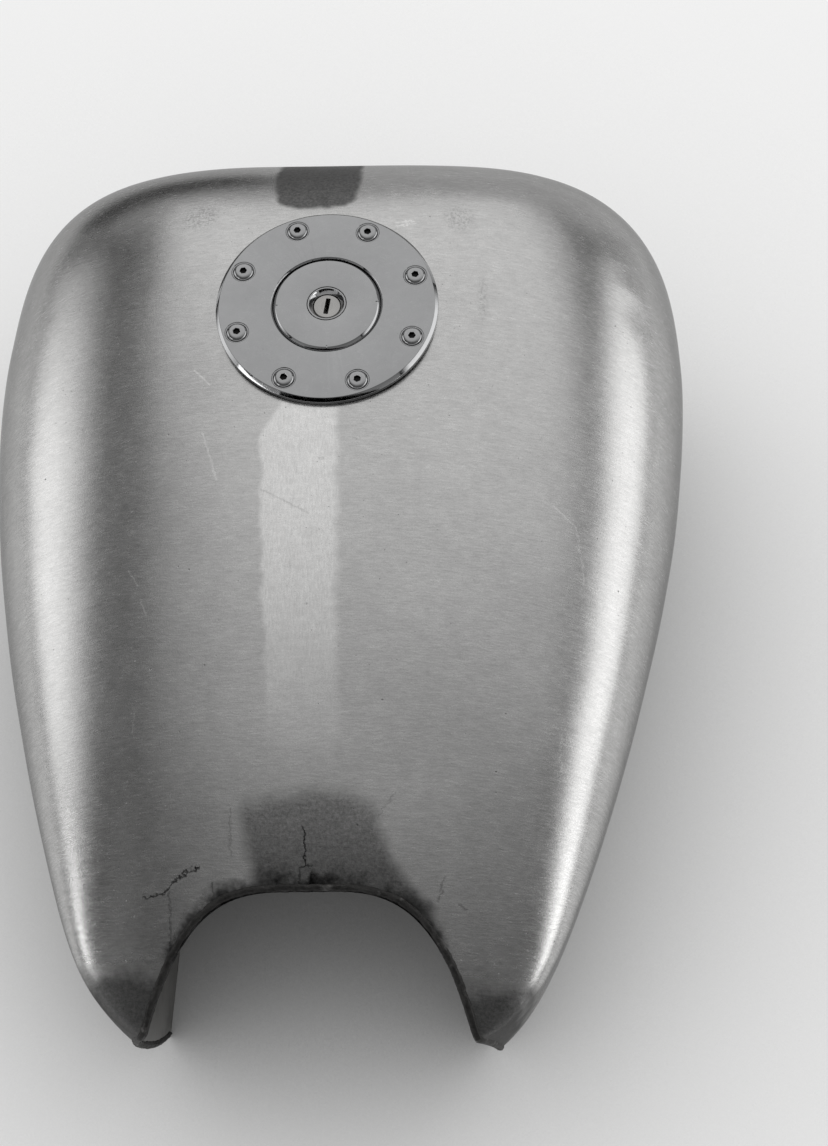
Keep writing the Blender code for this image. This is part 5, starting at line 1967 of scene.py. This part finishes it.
@dataclass
class Cap:
    """The locking cap, which lifts out of the bezel, and the lock in its middle."""

    axes: Matrix
    top: float = 0.0041
    disc_base: float = 0.0008
    disc_radius: float = 0.0253
    disc_bevel: float = 0.0015
    tick_count: int = 4
    tick_half: float = 0.00022
    tick_depth: float = 0.0003
    tick_phase: float = radians(2.0)
    lock_radius: float = 0.0090
    body_radius: float = 0.0248
    body_top: float = 0.0005
    body_base: float = -0.0130
    chamber_radius: float = 0.0120
    chamber_top: float = -0.0068
    channel_half: float = 0.0043
    channel_top: float = -0.0101
    seal_inner: float = 0.0214
    seal_levels: Point = (-0.0153, -0.0133)
    cover_radius: float = 0.0211
    cover_levels: Point = (-0.0150, -0.0133)
    screws: ScrewRing = ScrewRing(3, 0.01655, 0.5 * pi)
    screw_shank: float = 0.0015
    screw_head: float = 0.0027
    screw_head_height: float = 0.0012
    screw_length: float = 0.0060
    screw_hex: float = 0.0020
    lock_lip: float = 0.0007
    plug_radius: float = 0.00635
    plug_top: float = 0.0017
    plug_base: float = -0.0068
    plug_tail: float = 0.0040
    plug_tail_length: float = 0.0018
    keyway: Point = (0.0022, 0.0086)
    keyway_depth: float = 0.0072
    keyway_tilt: float = radians(-8.0)
    wafer_count: int = 4
    wafer_width: float = 0.0050
    wafer_thickness: float = 0.0007
    wafer_start: float = 0.0012
    wafer_end: float = 0.0015

    @property
    def bore(self) -> float:
        """Bore that the lock's barrel goes through."""
        return self.lock_radius + GAP

    def disc(self) -> Mesh:
        """Turns the cap's top, bevelled round its rim, and nicks its rim.

        Returns:
            The disc.
        """
        radius, bevel = self.disc_radius, self.disc_bevel
        corners = [(radius - bevel, self.top, 0.00025), (radius, self.top - bevel, 0.00025),
                   (radius, self.disc_base, 0.0002), (self.bore, self.disc_base, 0.0002),
                   (self.bore, self.top, 0.0002)]
        plate = turned("cap_top", rounded(corners), self.axes, 256)
        ticks = []
        for index in range(self.tick_count):
            turn = self.tick_phase + tau * index / self.tick_count
            axes = (self.axes @ Matrix.Rotation(turn, 4, "Z")
                    @ Matrix.Translation((radius - 0.5 * bevel, 0.0, 0.0)))
            ticks.append(prism(f"tick_{index}", box_outline(1.1 * bevel, self.tick_half),
                               self.top - self.tick_depth, self.top + bevel, axes))
        return carved(plate, *ticks)

    def barrel(self) -> Mesh:
        """Turns the cap's body and mills it for the cam, the bolts and the cover's screws.

        Returns:
            The body.
        """
        corners = ring_corners(self.bore, self.body_radius, self.body_base, self.body_top, 0.0004)
        body = turned("cap_barrel", rounded(corners), self.axes)
        past = self.body_base - self.screw_length
        chamber = turned("chamber", rod(self.chamber_radius, past, self.chamber_top), self.axes, 96)
        channel = prism("bolt_channel", box_outline(2.0 * self.body_radius, self.channel_half),
                        past, self.channel_top, self.axes)
        tip = self.cover_levels[0] + self.screw_length + GAP
        taps = rods("cover_taps", self.screws.places, rod(self.screw_shank + GAP, past, tip), self.axes)
        return carved(body, chamber, channel, taps)

    def seal(self) -> Mesh:
        """Turns the round-edged seal."""
        corners = ring_corners(self.seal_inner, self.body_radius, *self.seal_levels, 0.0008)
        return turned("cap_seal_ring", rounded(corners, 8), self.axes)

    def cover(self) -> Mesh:
        """Turns the cover and countersinks it.

        Returns:
            The cover.
        """
        low, high = self.cover_levels
        radius = self.cover_radius
        plate = turned("cover", [(0.0, high), (radius - 0.0003, high), (radius, high - 0.0003),
                                 (radius, low + 0.0004), (radius - 0.0004, low), (0.0, low)], self.axes)
        neck, shank, head = low + self.screw_head_height, self.screw_shank + GAP, self.screw_head + GAP
        room = [(0.0, high + GAP), (shank, high + GAP), (shank, neck), (head, low), (head, low - GAP),
                (0.0, low - GAP)]
        return carved(plate, rods("cover_holes", self.screws.places, room, self.axes))

    def cover_screw(self) -> Mesh:
        """Makes one countersunk cover screw, head down.

        Returns:
            The screw about its own axis.
        """
        low, shank = self.cover_levels[0], self.screw_shank
        tip = low + self.screw_length
        rings = ((shank - 0.0004, tip), (shank, tip - 0.0004), (shank, low + self.screw_head_height),
                 (self.screw_head, low + 0.0002), (self.screw_head - 0.0002, low))
        return SocketScrew(rings, self.screw_hex, self.screw_head_height, low).mesh("cover_screws")

    def collar(self) -> Mesh:
        """Turns the lock's barrel, with a sloped ring down to the plug's face.

        Returns:
            The barrel.
        """
        bore = self.plug_radius + GAP
        corners = [(self.lock_radius, self.top, 0.0002), (self.lock_radius, self.plug_base, 0.0003),
                   (bore, self.plug_base, 0.0002), (bore, self.plug_top, 0.0002),
                   (self.lock_radius - self.lock_lip, self.top, 0.0002)]
        return turned("lock_collar", rounded(corners), self.axes)

    def plug(self) -> Mesh:
        """Turns the plug and cuts its keyway, wafer slots and square tail.

        Returns:
            The plug.
        """
        radius, low, high = self.plug_radius, self.plug_base, self.plug_top
        end = low - self.plug_tail_length
        barrel = turned("plug", [(0.0, high), (radius - 0.0003, high), (radius, high - 0.0003),
                                 (radius, end), (0.0, end)], self.axes, 96)
        half = 0.5 * self.plug_tail
        waste = turned("tail_waste", [(2.0 * radius, low), (2.0 * radius, end - radius),
                                      (half * sqrt(2.0), end - radius), (half * sqrt(2.0), low)],
                       self.axes @ Matrix.Rotation(0.25 * pi, 4, "Z"), 4)
        tilted = self.axes @ Matrix.Rotation(self.keyway_tilt, 4, "Z")
        width, length = self.keyway
        slot = rounded([(x, y, 0.0004) for x, y in box_outline(0.5 * width, 0.5 * length)])
        keyway = prism("keyway", slot, high - self.keyway_depth, high + radius, tilted)
        first = high - self.wafer_start - self.wafer_thickness
        last = low + self.wafer_end
        pitch = (first - last) / (self.wafer_count - 1)
        outline = box_outline(0.5 * self.wafer_width + GAP, 2.0 * radius)
        slots = [prism(f"wafer_slot_{index}", outline, first - pitch * index - GAP,
                       first - pitch * index + self.wafer_thickness + GAP, tilted)
                 for index in range(self.wafer_count)]
        return carved(barrel, waste, keyway, *slots)

    def build(self, plate: Material, rubber: Material) -> None:
        """Makes the cap, and dresses the lock pieces that are kept.

        Args:
            plate: Finish of the disc and the lock's collar.
            rubber: Finish of the seal.
        """
        steel = Turned("turned_cap", self.axes).material()
        locked = Turned("lock_steel_face", self.axes, grey=0.36, rough=0.22,
                        color=(1.0, 0.985, 0.96)).material()
        # Painted shade: the brass wafers are near black so that the keyway reads dark.
        brass = Turned("wafer_brass_in_painted_shade", self.axes, grey=0.04, rough=0.45, color=(1.0, 0.80, 0.52)).material()
        settle("cap_top", self.disc(), plate, Slot.POLISHED, "cap_disc", body=Body.CAP)
        settle("cap_barrel", self.barrel(), steel, Slot.TURNED_STEEL, "cap_body", body=Body.CAP)
        settle("cap_seal_ring", self.seal(), rubber, Slot.RUBBER, "cap_seal", body=Body.CAP)
        settle("cover", self.cover(), steel, Slot.TURNED_STEEL, "bolt_cover", body=Body.CAP)
        names = [f"cover_screw_{index + 1}" for index in range(self.screws.count)]
        screws = self.screws.mesh(self.cover_screw(), self.axes, steel)
        settle("cover_screws", screws, steel, Slot.TURNED_STEEL, *names, body=Body.CAP)
        settle("lock_collar", self.collar(), plate, Slot.POLISHED, "lock_housing", body=Body.CAP)
        settle("plug", self.plug(), locked, Slot.LOCK_STEEL, "lock_plug", body=Body.LOCK)
        for index in range(self.wafer_count):
            redress(f"lock_wafer_{index + 1}", brass)
        for node in ("lock_cam", "latch_bolt_left", "latch_bolt_right"):
            redress(node, locked)


# Studio

@dataclass(frozen=True)
class Softbox:
    """A glowing panel, or a black card where its strength is zero, that the camera doesn't see.

    Its glow fades over shares of its left, right, near and far sides, dims towards its near end and
    may lean, which is dimmer at its left below a height.
    """

    name: str
    place: Place
    aim: Place
    width: float
    length: float
    strength: float = 0.0
    soft: tuple[float, float, float, float] = (0.2, 0.2, 0.2, 0.2)
    near: float = 1.0
    ramp: float = 0.4
    turn: float = 0.0
    lean: Place = (1.0, 0.0, 1.0)
    lifted: Point = (0.4, 0.5)

    def material(self) -> Material:
        """Makes the panel's glow.

        Returns:
            The material.
        """
        r = Recipe(self.name)
        across, along, _ = r.split(r.add("ShaderNodeUVMap")[0])
        left, right, near, far = self.soft
        low, start, stop = self.lean
        raised = r.between(r.fade(along, *self.lifted), low, 1.0)
        leaning = r.between(r.fade(across, start, stop), raised, 1.0)
        rising = r.between(r.fade(along, 0.0, self.ramp), self.near, 1.0)
        glow = r.product(self.strength, leaning, rising, r.fade(across, 0.0, left),
                         r.fade(across, 1.0, 1.0 - right), r.fade(along, 0.0, near),
                         r.fade(along, 1.0, 1.0 - far))
        r.feed(r.surface, r.add("ShaderNodeEmission", {"Strength": glow})[0])
        r.tree.nodes.remove(r.shader)
        return r.material

    def build(self) -> None:
        """Hangs the panel."""
        bm = bmesh.new()
        bm.loops.layers.uv.verify()
        bmesh.ops.create_grid(bm, x_segments=1, y_segments=1, size=0.5, calc_uvs=True)
        bmesh.ops.scale(bm, vec=(self.width, self.length, 1.0), verts=bm.verts)
        look = (Vector(self.aim) - Vector(self.place)).to_track_quat("-Z", "Y").to_matrix().to_4x4()
        spin = Matrix.Rotation(self.turn, 4, "Z")
        bmesh.ops.transform(bm, matrix=Matrix.Translation(self.place) @ look @ spin, verts=bm.verts)
        mesh = mesh_from(bm, self.name, closed=False)
        mesh.materials.append(self.material())
        panel = linked(mesh, self.name)
        panel.visible_camera = False
        panel.visible_shadow = False


@dataclass
class Studio:
    """A pale floor, soft panels and black cards about the tank, and the camera."""

    floor_size: float = 30.0
    floor_color: Place = (0.80, 0.80, 0.79)
    floor_white: float = 0.72
    # Reach and power of the painted shadow that ambient occlusion puts in the floor's white.
    floor_shade: float = 0.45
    painted_shadow_power: float = 1.6
    world_rise: Point = (0.12, 0.55)
    world_low: float = 0.62
    world_high: float = 0.20
    boxes: tuple[Softbox, ...] = (
        Softbox("overhead", (0.575, 1.10, 1.5), (0.575, 1.10, 0.0), 3.85, 4.6, 1.03,
                (0.10, 0.34, 0.06, 0.06), near=0.19, ramp=0.50, turn=radians(8.0),
                lean=(0.60, 0.11, 0.24)),
        Softbox("left_panel", (-2.4, 0.70, 1.09), (0.0, 0.70, 1.09), 3.6, 2.12, 1.8,
                (0.45, 0.42, 0.16, 0.65)),
        Softbox("right_panel", (2.4, 0.65, 0.84), (0.0, 0.65, 0.84), 4.0, 1.62, 2.0,
                (0.14, 0.36, 0.22, 0.45)),
        Softbox("left_strip", (-1.95, -1.02, 0.61), (0.0, 0.08, 0.21), 1.54, 0.24, 4.0, (0.1, 0.1, 0.1, 0.1)),
        Softbox("right_strip", (2.0, -0.85, 0.58), (0.0, 0.08, 0.21), 1.10, 0.22, 3.6, (0.1, 0.1, 0.1, 0.1)),
        Softbox("left_flag", (-2.42, 0.3, 0.05), (0.0, 0.3, 0.05), 4.0, 0.10),
        Softbox("right_flag", (2.42, 0.3, 0.05), (0.0, 0.3, 0.05), 4.0, 0.10),
        Softbox("front_flag", (-1.0, 2.2, 0.33), (-0.2, 0.0, 0.25), 1.5, 0.8),
        Softbox("back_flag", (0.0, -1.75, 0.66), (0.0, 0.0, 0.66), 3.0, 0.58),
    )
    eye: Place = (0.06056, -0.40460, 0.68777)
    depression: float = radians(55.521)
    azimuth: float = radians(3.067)
    roll: float = radians(2.745)
    focal_share: float = 1432.4 / 1146.0
    sensor: float = 36.0

    def camera(self) -> None:
        """Stands the camera where the photograph was taken."""
        level = cos(self.depression)
        ahead = Vector((-sin(self.azimuth) * level, cos(self.azimuth) * level, -sin(self.depression)))
        flat = Vector((cos(self.azimuth), sin(self.azimuth), 0.0))
        down = ahead.cross(flat)
        right = cos(self.roll) * flat + sin(self.roll) * down
        up = sin(self.roll) * flat - cos(self.roll) * down
        lens = bpy.data.cameras.new("photo_camera")
        lens.sensor_width = self.sensor
        lens.lens = self.focal_share * self.sensor
        view = linked(lens, "photo_camera")
        view.matrix_world = Matrix.Translation(self.eye) @ Matrix((right, up, -ahead)).transposed().to_4x4()
        bpy.context.scene.camera = view

    def floor(self) -> None:
        """Lays the floor, pale with a trace of unevenness, and white where only the eye looks."""
        bm = bmesh.new()
        bmesh.ops.create_grid(bm, x_segments=1, y_segments=1, size=0.5 * self.floor_size)
        mesh = mesh_from(bm, "floor", closed=False)
        r = Recipe("pale_floor")
        clouds = r.noise(3.0, 4.0)
        grain = r.noise(240.0)
        mesh.materials.append(r.done(r.line(clouds, 0.05, 0.975), self.floor_color, r.line(grain, 0.1, 0.65),
                                     r.bump(grain, 0.0001), 0.0))
        rays = r.add("ShaderNodeLightPath")
        seen = r.total(rays["Is Camera Ray"], rays["Is Glossy Ray"], rays["Is Transmission Ray"])
        # Painted shadow: the white glow is dimmed by ambient occlusion near the tank.
        painted_shadow_occlusion = r.add("ShaderNodeAmbientOcclusion", {"Distance": self.floor_shade}, samples=6)["AO"]
        white = r.add("ShaderNodeEmission", {"Strength": r.math("POWER", painted_shadow_occlusion, self.painted_shadow_power)})[0]
        share = r.product(r.math("MINIMUM", seen, 1.0), self.floor_white)
        r.feed(r.surface, r.add("ShaderNodeMixShader", {0: share, 1: r.shader.outputs[0], 2: white})[0])
        linked(mesh, "floor")

    def world(self) -> None:
        """Makes surroundings that are pale at the horizon and dim above."""
        world = bpy.data.worlds.new("studio")
        world.use_nodes = True
        bench = Bench(world.node_tree)
        height = bench.split(bench.add("ShaderNodeTexCoord")["Generated"])[2]
        sky = bench.tree.nodes["Background"].inputs
        bench.feed(sky["Strength"], bench.fade(height, *self.world_rise, self.world_low, self.world_high))
        sky["Color"].default_value = (1.0, 1.0, 1.0, 1.0)
        bpy.context.scene.world = world

    def build(self) -> None:
        """Sets up the floor, the light and the camera."""
        bpy.context.scene.view_settings.view_transform = "Standard"
        self.camera()
        self.floor()
        self.world()
        for box in self.boxes:
            box.build()


def main() -> None:
    """Builds every sub-assembly in order."""
    logging.basicConfig(level=logging.INFO, format="%(name)s %(message)s")
    form, arch = TankForm(), ArchForm()
    steel, sheet = RawSteel().material(), SheetSteel().material()
    scale, plate, rubber = WeldScale().material(), Polished().material(), Rubber().material()
    skin = Skin(form, arch)
    Underside(skin).build(sheet)
    skin.build(steel, scale)
    Mounts(arch).build(sheet, rubber)
    Filler(form.filler_axes).build(plate, rubber)
    Cap(form.filler_axes).build(plate, rubber)
    Studio().build()


if __name__ == "__main__":
    main()
